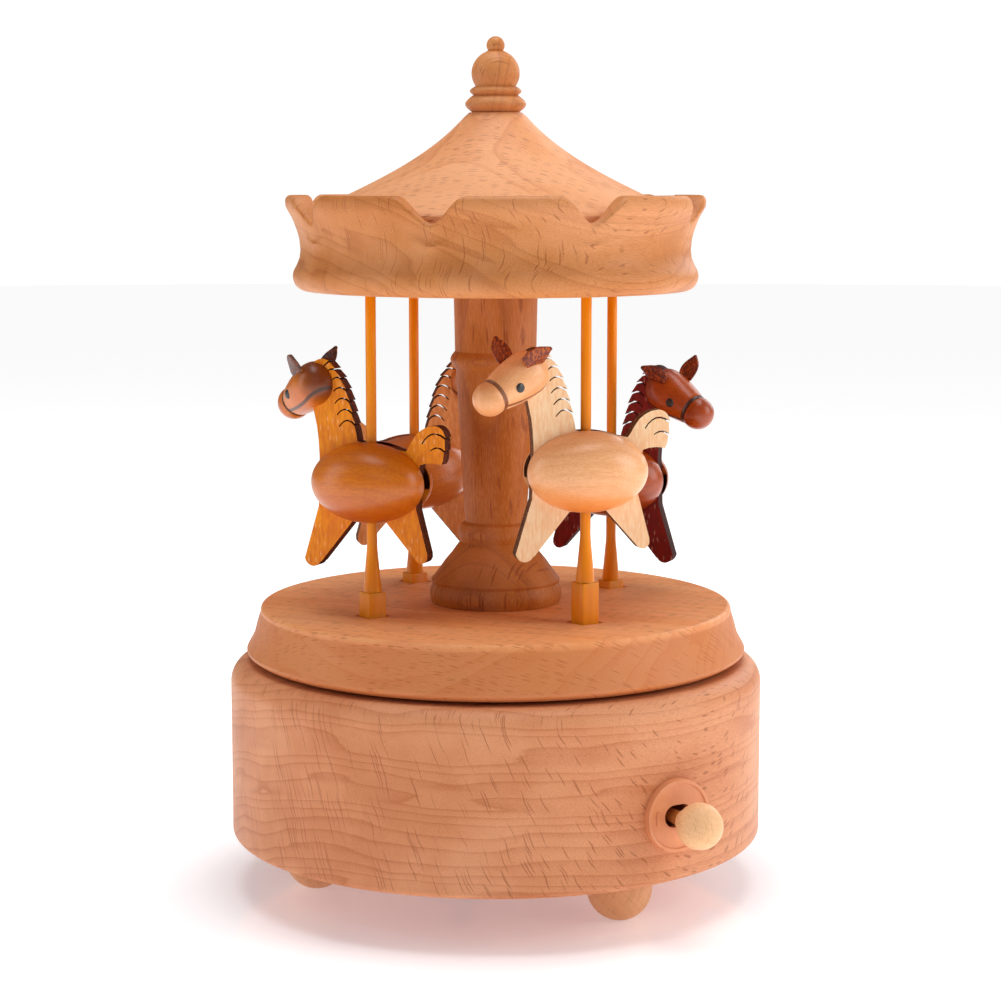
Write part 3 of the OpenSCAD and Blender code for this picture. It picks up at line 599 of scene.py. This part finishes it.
finialProfile = ([(0, 152.9), (2.4, 152.9), (2.4, 159.9)] + bead(159.9, 163.3, 4.7, 1.5) + bead(163.4, 165, 4.5, 0.75)
                 + [(4.1, 165.2)] + arc(0, 167.8, 4.9, 4.7, -32, 66, 22) + [(1.5, 172.35)]
                 + arc(0, 173.35, 1.85, 1.85, -25, 90, 14))
finialPiece = turned("finialTurned", finialProfile, steps=96, smooth=50)
finishPiece(finialPiece, finialWood, "turntable", "beech", "finial")


print("switch and key")
plastic = Finish("switchPlastic", Roughness=0.42, Specular_IOR_Level=0.45)
plasticSpot = plastic.spot(((1, 0, 0), (0, 1, 0), (0, 0, 1)))
speckle = plastic.noise(plasticSpot, detail=3, scale=2.2)
smear = plastic.noise(plasticSpot, detail=2, scale=0.25)
plasticColour = plastic.mix(tint(222, 152, 114), tint(198, 126, 90), speckle * 0.45)
plasticColour = plastic.mix(plasticColour, tint(232, 168, 130), smear.above(0.5, 0.2) * 0.4)
plastic.feed(Base_Color=plasticColour, Roughness=speckle * 0.12 + 0.36, Normal=plastic.bump(speckle, 0.12, 0.00005))

plateProfile = [(0, -9), (4.2, -9), (4.2, -5.9), (7.1, -5.9), (7.1, 0)] + arc(6.95, 0.15, 0.15, 0.15, 0, 90, 4) + [
    (6.6, 0.3), (6.45, 0.25), (6.35, 0), (3, 0), (0, 0)]
platePiece = turned("switchPlate", eased(plateProfile, 0.12), steps=96)
slotCut = [post(2.2, -10, 2, -1, 0, 48), post(2.2, -10, 2, 1, 0, 48), block((2, 4.4, 12), (0, 0, -4))]
for cutter in slotCut:
    cutAway(platePiece, [cutter])
place(platePiece, switchPlace)
cutAway(platePiece, [post(55.15, 10, 40, steps=192)])
bar = softEdges(block((0.5, 2.6, 0.55), (-4.9, 0, 0.02)), 0.12)
ringMark = turned("ringMark", eased([(0.85, -0.2), (1.3, -0.2), (1.3, 0.3), (0.85, 0.3), (0.85, -0.2)], 0.1), steps=48)
place(ringMark, Matrix.Translation((4.7 * mm, 0, 0)))
for part in (bar, ringMark):
    place(part, switchPlace)
platePiece = joined([platePiece, bar, ringMark], "switchPlate")
smoothen(platePiece, 30)
finishPiece(platePiece, plastic.material, "base", "switch_plastic", "switch_plate")

knobWood = beech("knobMaple", along=(0.515, -0.857, 0), ringUp=(0, 0, 1), pith=(0.05, -0.04, 0.08), spacing=1.4,
                 ringDepth=0.22, fleckDepth=0.22, fleckSize=(1.6, 0.18, 3), light=tint(244, 200, 158),
                 dark=tint(218, 162, 118), mottle=0.3, rough=0.42)
knobProfile = eased([(0, -2.4), (1.42, -2.4), (1.42, -4.9), (2.3, -4.9), (2.4, -3.8)], 0.15) + arc(
    0, 0, 4.5, 4.5, -50, 90, 30)
knobPiece = turned("switchKnob", knobProfile, steps=72, smooth=50)
place(knobPiece, switchPlace @ Matrix.Translation((0, -0.5 * mm, 6.9 * mm)))
finishPiece(knobPiece, knobWood, "switch", "pale_wood", "switch_knob")

nickel = Finish("nickelPlate", Metallic=1, Roughness=0.25, Base_Color=(0.62, 0.6, 0.57, 1))
nickelSpot = nickel.spot(((1, 0, 0), (0, 1, 0), (0, 0, 1)))
scuffs = nickel.noise(nickel.stretch(nickelSpot, (0.4, 3, 3)), detail=3)
nickel.feed(Base_Color=nickel.mix((0.66, 0.64, 0.61, 1), (0.5, 0.48, 0.45, 1), scuffs), Roughness=scuffs * 0.25 + 0.16,
            Normal=nickel.bump(scuffs, 0.1, 0.00003))
shank = turned("shank", eased([(0.98, 7.9), (0.98, 10.6), (2.5, 10.6), (2.5, 6.9), (0, 6.9), (0, 7.9), (0.98, 7.9)],
                              0.25), steps=48)
ringTurn = Matrix.Rotation(math.radians(90), 4, "X")
bows = []
for side in (-1, 1):
    bow = turned("bow", eased([(1.7, -0.8), (3.3, -0.8), (3.3, 0.8), (1.7, 0.8), (1.7, -0.8)], 0.35), steps=56)
    bows.append(place(bow, Matrix.Translation((side * 3.1 * mm, 0, 4.4 * mm)) @ ringTurn))
web = softEdges(block((2.6, 1.5, 5.4), (0, 0, 4.7)), 0.3)
keyPiece = joined([shank] + bows + [web], "windingKey")
place(keyPiece, Matrix.Translation((-7.2 * mm, 5.4 * mm, 0)))
smoothen(keyPiece, 35)
finishPiece(keyPiece, nickel.material, "winder", "plated_key", "winding_key")


print("horses")
horse = {
    "blockTop": 59.2, "thick": 2.8, "bodyLong": 12.2, "bodyDeep": 8.1, "bodyUp": 22.2,
    "headAt": (12.4, 41.4), "headTilt": -27, "cutWide": 0.2,
}
maneCuts = [((8.6, 46.2), (9.5, 45.5), (10.2, 44.7)), ((7.3, 44.6), (8.4, 44.6), (9.3, 43.9)),
            ((6.0, 42.8), (7.2, 43.0), (8.2, 42.1)), ((4.95, 40.6), (6.4, 41.0), (7.7, 40.2)),
            ((4.2, 38.3), (5.9, 38.9), (7.4, 37.8)), ((3.6, 36.0), (5.3, 36.7), (6.9, 35.5)),
            ((3.0, 33.7), (4.8, 34.5), (6.4, 33.2))]
tailCuts = [((-16.75, 31.7), (-14.0, 32.5), (-11.7, 30.4)), ((-16.6, 29.1), (-15.1, 29.8), (-13.6, 29.2))]


def sawCut(edge, crest, inner, wide):
    # outline of one thin saw cut that starts at the edge and bends over its crest
    path = []
    for i in range(7):
        t = i / 6
        path.append(Vector(edge) * (1 - t) ** 2 + (Vector(crest) * 2 - (Vector(edge) + Vector(inner)) / 2) * (
            2 * t * (1 - t)) + Vector(inner) * t ** 2)
    first, second = [], []
    for i, spot in enumerate(path):
        ahead = path[min(i + 1, 6)] - path[max(i - 1, 0)]
        side = Vector((-ahead.y, ahead.x)).normalized() * wide * (1 - 0.45 * i / 6)
        first.append(tuple(spot - side))
        second.append(tuple(spot + side))
    return second + first[::-1]


def boardOutline():
    wide = horse["cutWide"]
    points = [(10.9, 27), (11.1, 30.5), (11.4, 33), (12.2, 36.6), (13.6, 39), (13.4, 43)]
    points += arc(10.2, 43.6, 2.8, 3.1, 20, 112, 12)
    for cut in maneCuts:
        points += sawCut(*cut, wide)
    points += [(2.7, 32.2), (2.4, 30.4), (0, 29.9), (-5, 29.4), (-8.2, 28.8), (-8.9, 29.8), (-9.6, 31), (-10.5, 32.3),
               (-11.6, 33.2), (-13, 33.9)] + arc(-14.5, 31.9, 2.2, 2.2, 88, 160, 8)
    for cut in tailCuts:
        points += sawCut(*cut, wide)
    points += [(-16.3, 27.4), (-15.9, 26.5), (-14.2, 26.7), (-12.6, 26.6), (-11.3, 26.2), (-10.6, 23), (-10.4, 17.4),
               (-12.8, 8.4)]
    points += arc(-11.4, 7.9, 1.4, 1.4, 165, 310, 12) + [(-3.8, 14.4), (3.6, 14.3), (10.8, 5.6)]
    points += arc(12.6, 6.6, 1.9, 2, 205, 350, 14) + [(11.2, 17)]
    return points


def horseBoard():
    outline = boardOutline()
    piece = drawLine("boardMaster", [(u * mm, w * mm, -horse["thick"] / 2 * mm) for u, w in outline])
    bpy.ops.mesh.select_all(action="SELECT")
    bpy.ops.mesh.edge_face_add()
    bpy.ops.mesh.extrude_region_move(TRANSFORM_OT_translate={"value": (0, 0, horse["thick"] * mm)})
    bpy.ops.mesh.select_all(action="SELECT")
    bpy.ops.mesh.normals_make_consistent(inside=False)
    bpy.ops.mesh.select_all(action="DESELECT")
    bpy.ops.object.mode_set(mode="OBJECT")
    piece.data.materials.append(bpy.data.materials.new("faceHolder"))
    piece.data.materials.append(bpy.data.materials.new("edgeHolder"))
    for face in piece.data.polygons:
        face.material_index = 0 if abs(face.normal.z) > 0.9 else 1
    smoothen(piece, 25)
    return piece


def halfBody():
    # outer half, flat side on z = 0, bulging towards -z
    profile = arc(0, 0, horse["bodyDeep"], horse["bodyLong"], -90, 90, 48)
    piece = turned("bodyMaster", profile, steps=96, smooth=60)
    place(piece, Matrix.Rotation(math.radians(90), 4, "Y"))
    bpy.ops.object.mode_set(mode="EDIT")
    bpy.ops.mesh.select_all(action="SELECT")
    bpy.ops.mesh.bisect(plane_co=(0, 0, 0), plane_no=(0, 0, 1), use_fill=True, clear_outer=True)
    bpy.ops.mesh.select_all(action="DESELECT")
    bpy.ops.object.mode_set(mode="OBJECT")
    softEdges(piece, 0.3, 60, 3)
    smoothen(piece, 50)
    return piece


def horseHead():
    profile = arc(0, 0, 4.6, 4.9, -90, 0, 16) + [(4.56, 1.2), (4.44, 2.6), (4.2, 4.2), (3.85, 6), (3.55, 7.3), (3.4, 7.9),
                                                 (3.22, 8.05), (3.08, 8.2), (3.08, 8.4), (3.2, 8.55), (3.34, 8.8)]
    profile += arc(0, 9.5, 3.4, 3.4, -10, 90, 18)
    piece = turned("headMaster", profile, steps=72, smooth=60)
    place(piece, Matrix.Rotation(math.radians(90), 4, "Y"))
    return piece


def horseEar(side):
    # a cupped leaf of leather, folded together at its foot
    deselect()
    bpy.ops.mesh.primitive_plane_add(size=1, location=(0, 0, 0))
    piece = bpy.context.object
    bpy.ops.object.mode_set(mode="EDIT")
    bpy.ops.mesh.subdivide(number_cuts=11)
    bpy.ops.object.mode_set(mode="OBJECT")
    tall, wide = 6.2, 2.0
    for vertex in piece.data.vertices:
        across, up = vertex.co.x * 2, vertex.co.y + 0.5
        half = wide * (0.5 + 0.75 * math.sin(math.pi * min(1, up * 0.9 + 0.1)) ** 0.8) * (1 - up ** 5)
        cup = 0.9 * (1 - abs(across) ** 2) * (1 - 0.5 * up)
        vertex.co = (across * half * mm, up * tall * mm, side * (cup - 0.5 + 0.5 * up ** 2) * mm)
    tool = piece.modifiers.new("leather", "SOLIDIFY")
    tool.thickness = 0.45 * mm
    tool.offset = 0
    choose(piece)
    bpy.ops.object.modifier_apply(modifier="leather")
    tool = piece.modifiers.new("round", "SUBSURF")
    tool.levels = 1
    tool.render_levels = 1
    bpy.ops.object.modifier_apply(modifier="round")
    bpy.ops.object.mode_set(mode="EDIT")
    bpy.ops.mesh.select_all(action="SELECT")
    bpy.ops.mesh.remove_doubles(threshold=0.002 * mm)
    bpy.ops.mesh.normals_make_consistent(inside=False)
    bpy.ops.object.mode_set(mode="OBJECT")
    smoothen(piece, 70)
    return piece


def horsePole():
    rod = turned("rod", [(0, -0.5), (1.85, -0.5), (1.85, 0.4), (1.6, 3), (1.28, 6.5), (1.1, 8.4), (1.05, 9.4), (1.05, 40),
                         (1.05, 71.3), (0.75, 71.6), (0, 71.6)], steps=40, smooth=50)
    foot = block((4, 4, 18.8), (0, 0, -9.4), "poleMaster")
    bpy.ops.object.mode_set(mode="EDIT")
    bpy.ops.mesh.select_all(action="SELECT")
    bpy.ops.mesh.bevel(offset=0.22 * mm, segments=3, affect="EDGES")
    bpy.ops.object.mode_set(mode="OBJECT")
    smoothen(foot, 40)
    piece = joined([foot, rod], "poleMaster")
    return piece


def horseEye():
    return turned("eyeMaster", [(0, -0.7), (0.95, -0.7), (0.95, -0.05)] + arc(0, -0.05, 0.95, 0.3, 0, 90, 8), steps=32,
                  smooth=50)


boardMaster = horseBoard()
outerMaster = halfBody()
headMaster = horseHead()
poleMaster = horsePole()
eyeMaster = horseEye()
earMasters = {-1: horseEar(-1), 1: horseEar(1)}

# each horse's "under" colour is painted shade and painted orange reflection for the lower part of its body
stable = {
    "cream": {"azimuth": 35.5, "lift": 8.1, "turn": -22.5, "headTurn": 24, "earLean": (70, 26),
              "board": tint(254, 216, 180), "boardDark": tint(238, 188, 146), "burn": tint(92, 52, 30),
              "wood": tint(244, 188, 144), "woodDark": tint(216, 146, 98), "under": tint(224, 128, 44),
              "strap": tint(132, 78, 54), "headDark": tint(236, 178, 130),
              "leather": tint(176, 84, 18), "leatherDark": tint(96, 34, 6)},
    "golden": {"azimuth": -54.5, "lift": 5.0, "turn": 31.5, "headTurn": -32, "earLean": (60, 22),
               "board": tint(236, 150, 24), "boardDark": tint(206, 110, 8), "burn": tint(70, 24, 6),
               "wood": tint(206, 120, 34), "woodDark": tint(168, 78, 10), "under": tint(150, 58, 4),
               "strap": tint(60, 30, 14), "headDark": tint(96, 38, 8),
               "leather": tint(110, 46, 14), "leatherDark": tint(54, 20, 6)},
    "tan": {"azimuth": -144.5, "lift": 2.0, "turn": -23.5, "headTurn": -14, "earLean": (30, 30),
            "board": tint(244, 184, 132), "boardDark": tint(216, 148, 98), "burn": tint(84, 40, 20),
            "wood": tint(206, 130, 76), "woodDark": tint(170, 92, 46), "under": tint(170, 86, 40),
            "strap": tint(96, 50, 28), "headDark": tint(176, 104, 54),
            "leather": tint(150, 72, 22), "leatherDark": tint(80, 32, 8)},
    "chestnut": {"azimuth": 125.5, "lift": 1.5, "turn": 32.5, "headTurn": -22, "earLean": (24, 74),
                 "board": tint(128, 30, 6), "boardDark": tint(88, 14, 2), "burn": tint(54, 20, 10),
                 "wood": tint(176, 84, 24), "woodDark": tint(124, 44, 10), "under": tint(104, 28, 4),
                 "strap": tint(48, 18, 8), "headDark": tint(104, 32, 6),
                 "leather": tint(150, 62, 16), "leatherDark": tint(84, 26, 6)},
}


def headFrame(home, look):
    return (home @ Matrix.Translation((horse["headAt"][0] * mm, horse["headAt"][1] * mm, 0))
            @ Matrix.Rotation(math.radians(look["headTurn"]), 4, "Y")
            @ Matrix.Rotation(math.radians(horse["headTilt"]), 4, "Z"))


def frameRows(matrix):
    # rows of the turn that takes the room's directions to a piece's own
    return tuple(Vector(row) for row in matrix.to_3x3().transposed())


def boardFinish(name, look, home):
    finish = Finish(name, Roughness=0.5, Specular_IOR_Level=0.3)
    spot = finish.spot(frameRows(home), home.translation)
    fibres = finish.noise(finish.stretch(spot, (0.55, 2.6, 0.6)), detail=3, rough=0.6)
    fleck = finish.add("ShaderNodeTexVoronoi", {"feature": "F1"},
                       {"Vector": finish.stretch(spot, (0.5, 1.8, 0.7)), "Scale": 1, "Randomness": 1})
    chance = finish.axes(Wire(finish, fleck.socket.node.outputs["Color"]))[1]
    pale = fleck.below(0.3, 0.14) * chance.below(0.3)
    cloud = finish.noise(finish.stretch(spot, (6, 11, 6)), detail=2)
    colour = finish.mix(look["board"], look["boardDark"], fibres.below(0.5, 0.16) * 0.75)
    colour = finish.mix(colour, look["boardDark"], cloud.below(0.45, 0.2) * 0.4)
    colour = finish.mix(colour, finish.mix(look["board"], (1, 0.9, 0.7, 1), 0.22), pale * 0.7)
    return finish.feed(Base_Color=colour, Roughness=fibres * 0.2 + 0.42,
                       Normal=finish.bump(fibres * 0.7 + pale * 0.3, 0.25, 0.00008))


def burntFinish(name, look, home):
    finish = Finish(name, Roughness=0.75, Specular_IOR_Level=0.2)
    spot = finish.spot(frameRows(home), home.translation)
    stripes = finish.noise(finish.stretch(spot, (0.5, 0.5, 0.22)), detail=3, rough=0.6)
    layers = finish.noise(finish.stretch(spot, (8, 8, 0.35)), detail=1)
    char = finish.mix(look["burn"], look["boardDark"], stripes.above(0.56, 0.1) * 0.35)
    char = finish.mix(char, tint(30, 12, 6), layers.below(0.45, 0.1) * 0.6)
    return finish.feed(Base_Color=char, Roughness=stripes * 0.2 + 0.62, Normal=finish.bump(stripes, 0.4, 0.0001))


def bodyFinish(name, look, home):
    finish = Finish(name, Roughness=0.34, Specular_IOR_Level=0.45, Coat_Weight=0.25, Coat_Roughness=0.25)
    spot = finish.spot(frameRows(home), home.translation)
    along, up, across = finish.axes(spot)
    sway = finish.noise(finish.stretch(spot, (18, 7, 7)), detail=2)
    rings = ((up * 0.85 + across * 0.5) / 2.2 + sway * 2.4).math("FRACT")
    ring = finish.ramp(rings, [(0, 0.1), (0.5, 0.0), (0.85, 0.7), (0.95, 1.0), (1.0, 0.15)])
    fibres = finish.noise(finish.stretch(spot, (2.6, 0.22, 0.22)), detail=3, rough=0.6)
    cells = finish.add("ShaderNodeTexVoronoi", {"feature": "F1"},
                       {"Vector": finish.stretch(spot, (0.35, 1.1, 0.35)), "Scale": 1, "Randomness": 1})
    chance = finish.axes(Wire(finish, cells.socket.node.outputs["Color"]))[0]
    dash = cells.below(0.28, 0.12) * chance.below(0.12)
    colour = finish.mix(look["wood"], look["woodDark"], ring * 0.3)
    colour = finish.mix(colour, look["woodDark"], fibres.below(0.48, 0.14) * 0.45)
    colour = finish.mix(colour, look["woodDark"], dash * 0.5)
    # painted shade and painted orange reflection from the platform on the lower part of the body
    colour = finish.mix(colour, look["under"], up.below(horse["bodyUp"] - 4.0, 5.0) * 0.75)
    return finish.feed(Base_Color=colour, Roughness=fibres * 0.16 + 0.27,
                       Normal=finish.bump(fibres + ring * 0.3, 0.12, 0.00006))


def headFinish(name, look, home):
    finish = Finish(name, Roughness=0.36, Specular_IOR_Level=0.45, Coat_Weight=0.2, Coat_Roughness=0.25)
    headHome = headFrame(home, look)
    spot = finish.spot(frameRows(headHome), headHome.translation)
    along, up, across = finish.axes(spot)
    fibres = finish.noise(finish.stretch(spot, (2.4, 0.22, 0.22)), detail=3, rough=0.6)
    cloud = finish.noise(finish.stretch(spot, (7, 4, 4)), detail=2)
    colour = finish.mix(look["wood"], look["woodDark"], fibres.below(0.5, 0.14) * 0.4)
    colour = finish.mix(colour, look["woodDark"], cloud.below(0.45, 0.15) * 0.4)
    colour = finish.mix(colour, look["headDark"], along.below(-1.6, 2.4) * 0.85)
    muzzle = along.above(9.2, 0.6)
    endGrain = finish.noise(finish.stretch(spot, (0.6, 0.35, 0.35)), detail=2)
    colour = finish.mix(colour, look["woodDark"], muzzle * (endGrain * 0.5 + 0.1))
    # bridle: a ring round the muzzle and a cheek strap that runs back under the eye
    nose = abs(along - 8.25).below(0.42, 0.1)
    strapHeight = (along - 0.5) ** 2 * 0.02 - 3.35 + (along * -1).math("MAXIMUM", 0) * 0.1
    cheek = abs(up - strapHeight).below(0.26, 0.1) * along.below(8.25, 0.1)
    colour = finish.mix(colour, look["strap"], nose.math("MAXIMUM", cheek) * 0.92)
    height = fibres - cheek * 1.5
    return finish.feed(Base_Color=colour, Roughness=fibres * 0.16 + 0.28, Normal=finish.bump(height, 0.12, 0.00008))


def leatherFinish(name, look):
    finish = Finish(name, Roughness=0.4, Specular_IOR_Level=0.5)
    spot = finish.spot(((1, 0, 0), (0, 1, 0), (0, 0, 1)))
    wrinkle = finish.noise(finish.stretch(spot, (0.5, 0.5, 0.9)), detail=4, rough=0.65)
    pits = finish.add("ShaderNodeTexVoronoi", {"feature": "F1"}, {"Vector": spot, "Scale": 2.4, "Randomness": 1})
    colour = finish.mix(look["leather"], look["leatherDark"], wrinkle.below(0.52, 0.12))
    colour = finish.mix(colour, tint(224, 140, 50), wrinkle.above(0.63, 0.08) * 0.5)
    return finish.feed(Base_Color=colour, Roughness=wrinkle * 0.4 + 0.22,
                       Normal=finish.bump(wrinkle + pits * 0.4, 0.5, 0.00018))


amber = Finish("amberPlastic", Roughness=0.3, Specular_IOR_Level=0.3, Subsurface_Weight=0.25, Subsurface_Scale=0.002,
               Subsurface_Radius=(1.0, 0.5, 0.1))
amberSpot = amber.spot(((1, 0, 0), (0, 1, 0), (0, 0, 1)))
flow = amber.noise(amber.stretch(amberSpot, (1.2, 1.2, 14)), detail=3)
grit = amber.noise(amber.stretch(amberSpot, (0.4, 0.4, 0.4)), detail=2)
amberColour = amber.mix(tint(240, 160, 22), tint(222, 128, 10), flow)
amber.feed(Base_Color=amberColour, Roughness=grit * 0.16 + 0.22, Normal=amber.bump(grit * 0.4 + flow, 0.08, 0.00006))

ink = Finish("eyeInk", Roughness=0.3, Specular_IOR_Level=0.6)
inkNoise = ink.noise(ink.spot(((1, 0, 0), (0, 1, 0), (0, 0, 1))), detail=2, scale=2)
ink.feed(Base_Color=ink.mix(tint(24, 24, 26), tint(44, 42, 44), inkNoise), Roughness=inkNoise * 0.3 + 0.2)

ears = {"along": 1.2, "out": 4.4, "spread": 50, "upright": 25, "cant": 16}
eyes = {"along": 4.6, "up": 0.0}


def headSurface(along):
    # radius of the head at a distance from the middle of its back
    return 4.6 - 0.021 * along ** 2


for name, look in stable.items():
    top = horse["blockTop"] + look["lift"]
    home = azimuthTurn(look["azimuth"]) @ Matrix.Translation((0, -poleRing * mm, top * mm))
    home = home @ azimuthTurn(look["turn"]) @ Matrix(((-1, 0, 0, 0), (0, 0, 1, 0), (0, 1, 0, 0), (0, 0, 0, 1)))
    upright = azimuthTurn(look["azimuth"]) @ Matrix.Translation((0, -poleRing * mm, top * mm))
    body = f"{name}_horse"
    bodyMaterial = bodyFinish(f"{name}Wood", look, home)

    pole = copied(poleMaster, f"{name}Pole")
    place(pole, upright)
    finishPiece(pole, amber.material, body, "amber_plastic", f"{name}_pole")

    board = copied(boardMaster, f"{name}Board")
    place(board, home)
    board.data.materials[0] = boardFinish(f"{name}BoardFace", look, home)
    board.data.materials[1] = burntFinish(f"{name}BoardEdge", look, home)
    hold(board, body, f"{name}_board", f"{name}_board")

    for word, side in (("Outer", 1), ("Inner", -1)):
        half = copied(outerMaster, f"{name}{word}Body")
        turn = Matrix.Identity(4) if side > 0 else Matrix.Rotation(math.pi, 4, "X")
        place(half, home @ Matrix.Translation((0, horse["bodyUp"] * mm, -side * horse["thick"] / 2 * mm)) @ turn)
        finishPiece(half, bodyMaterial, body, f"{name}_wood", f"{name}_{word.lower()}_body")

    head = copied(headMaster, f"{name}Head")
    place(head, headFrame(home, look))
    finishPiece(head, headFinish(f"{name}HeadWood", look, home), body, f"{name}_wood", f"{name}_head")

    headHome = headFrame(home, look)
    eyePair = []
    for side in (-1, 1):
        eye = copied(eyeMaster, f"{name}Eye")
        lift = math.degrees(math.asin(eyes["up"] / headSurface(eyes["along"])))
        tip = Matrix.Rotation(math.radians(-side * lift), 4, "X") @ (
            Matrix.Identity(4) if side > 0 else Matrix.Rotation(math.pi, 4, "X"))
        place(eye, headHome @ Matrix.Translation((eyes["along"] * mm, 0, 0)) @ tip
              @ Matrix.Translation((0, 0, headSurface(eyes["along"]) * mm)))
        eyePair.append(eye)
    eyePair = joined(eyePair, f"{name}Eyes")
    finishPiece(eyePair, ink.material, body, f"{name}_wood")

    earPair = []
    for side in (-1, 1):
        ear = copied(earMasters[side], f"{name}Ear")
        lean = look["earLean"][0 if side < 0 else 1]
        place(ear, headHome @ Matrix.Translation((ears["along"] * mm, 0, 0))
              @ Matrix.Rotation(math.radians(side * ears["spread"]), 4, "X")
              @ Matrix.Translation((0, ears["out"] * mm, 0))
              @ Matrix.Rotation(math.radians(-side * ears["upright"]), 4, "X")
              @ Matrix.Rotation(math.radians(side * ears["cant"]), 4, "Y")
              @ Matrix.Rotation(math.radians(lean), 4, "Z"))
        earPair.append(ear)
    earPair = joined(earPair, f"{name}Ears")
    finishPiece(earPair, leatherFinish(f"{name}Leather", look), body, f"{name}_leather", f"{name}_ears")

for master in (boardMaster, outerMaster, headMaster, poleMaster, eyeMaster, earMasters[-1], earMasters[1]):
    bpy.data.objects.remove(master)


print("works")


def metal(name, bright, dull, rough, metallic=1.0, scuffSize=(2.5, 0.3, 0.3)):
    finish = Finish(name, Metallic=metallic)
    spot = finish.spot(((1, 0, 0), (0, 1, 0), (0, 0, 1)))
    scuff = finish.noise(finish.stretch(spot, scuffSize), detail=3, rough=0.6)
    patch = finish.noise(finish.stretch(spot, (6, 6, 6)), detail=2)
    colour = finish.mix(bright, dull, scuff.below(0.5, 0.2) * 0.5)
    colour = finish.mix(colour, dull, patch.below(0.42, 0.15) * 0.6)
    return finish.feed(Base_Color=colour, Roughness=scuff * 0.25 + rough, Normal=finish.bump(scuff, 0.12, 0.00003))


brass = metal("brassTurned", (0.80, 0.58, 0.26, 1), (0.55, 0.37, 0.14, 1), 0.18)
steel = metal("steelPlain", (0.62, 0.62, 0.63, 1), (0.38, 0.38, 0.4, 1), 0.2)
spring = metal("steelBlued", (0.34, 0.36, 0.42, 1), (0.2, 0.2, 0.24, 1), 0.22)
zinc = metal("zincCast", (0.52, 0.52, 0.52, 1), (0.36, 0.36, 0.36, 1), 0.38, scuffSize=(0.6, 0.6, 0.6))
nylon = metal("nylonWhite", tint(236, 232, 220), tint(206, 200, 186), 0.35, metallic=0.0)
trackPlastic = metal("trackPlastic", tint(222, 152, 114), tint(196, 124, 88), 0.35, metallic=0.0)
leverWood = beech("leverWood", along=(0.5, -0.86, 0), ringUp=(0, 0, 1), spacing=1.2, light=tint(196, 122, 72),
                  dark=tint(140, 76, 36))

worksFinish = {
    plateWood: ["bottom_plate"],
    steel: ["bottom_screws", "switch_pivot_pin", "movement_screws", "comb_screws", "winding_arbor", "drive_shaft",
            "governor_fly"],
    trackPlastic: ["lift_track"],
    nylon: ["thrust_washer"],
    leverWood: ["switch_lever"],
    zinc: ["movement_frame"],
    spring: ["comb", "mainspring"],
    brass: ["spindle_bush", "governor_frame", "governor_wheel", "spring_barrel", "music_cylinder", "cylinder_gear",
            "turntable_gear"],
}
for material, nodes in worksFinish.items():
    for node in nodes:
        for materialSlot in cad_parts[node].material_slots:
            materialSlot.material = material

print("done")
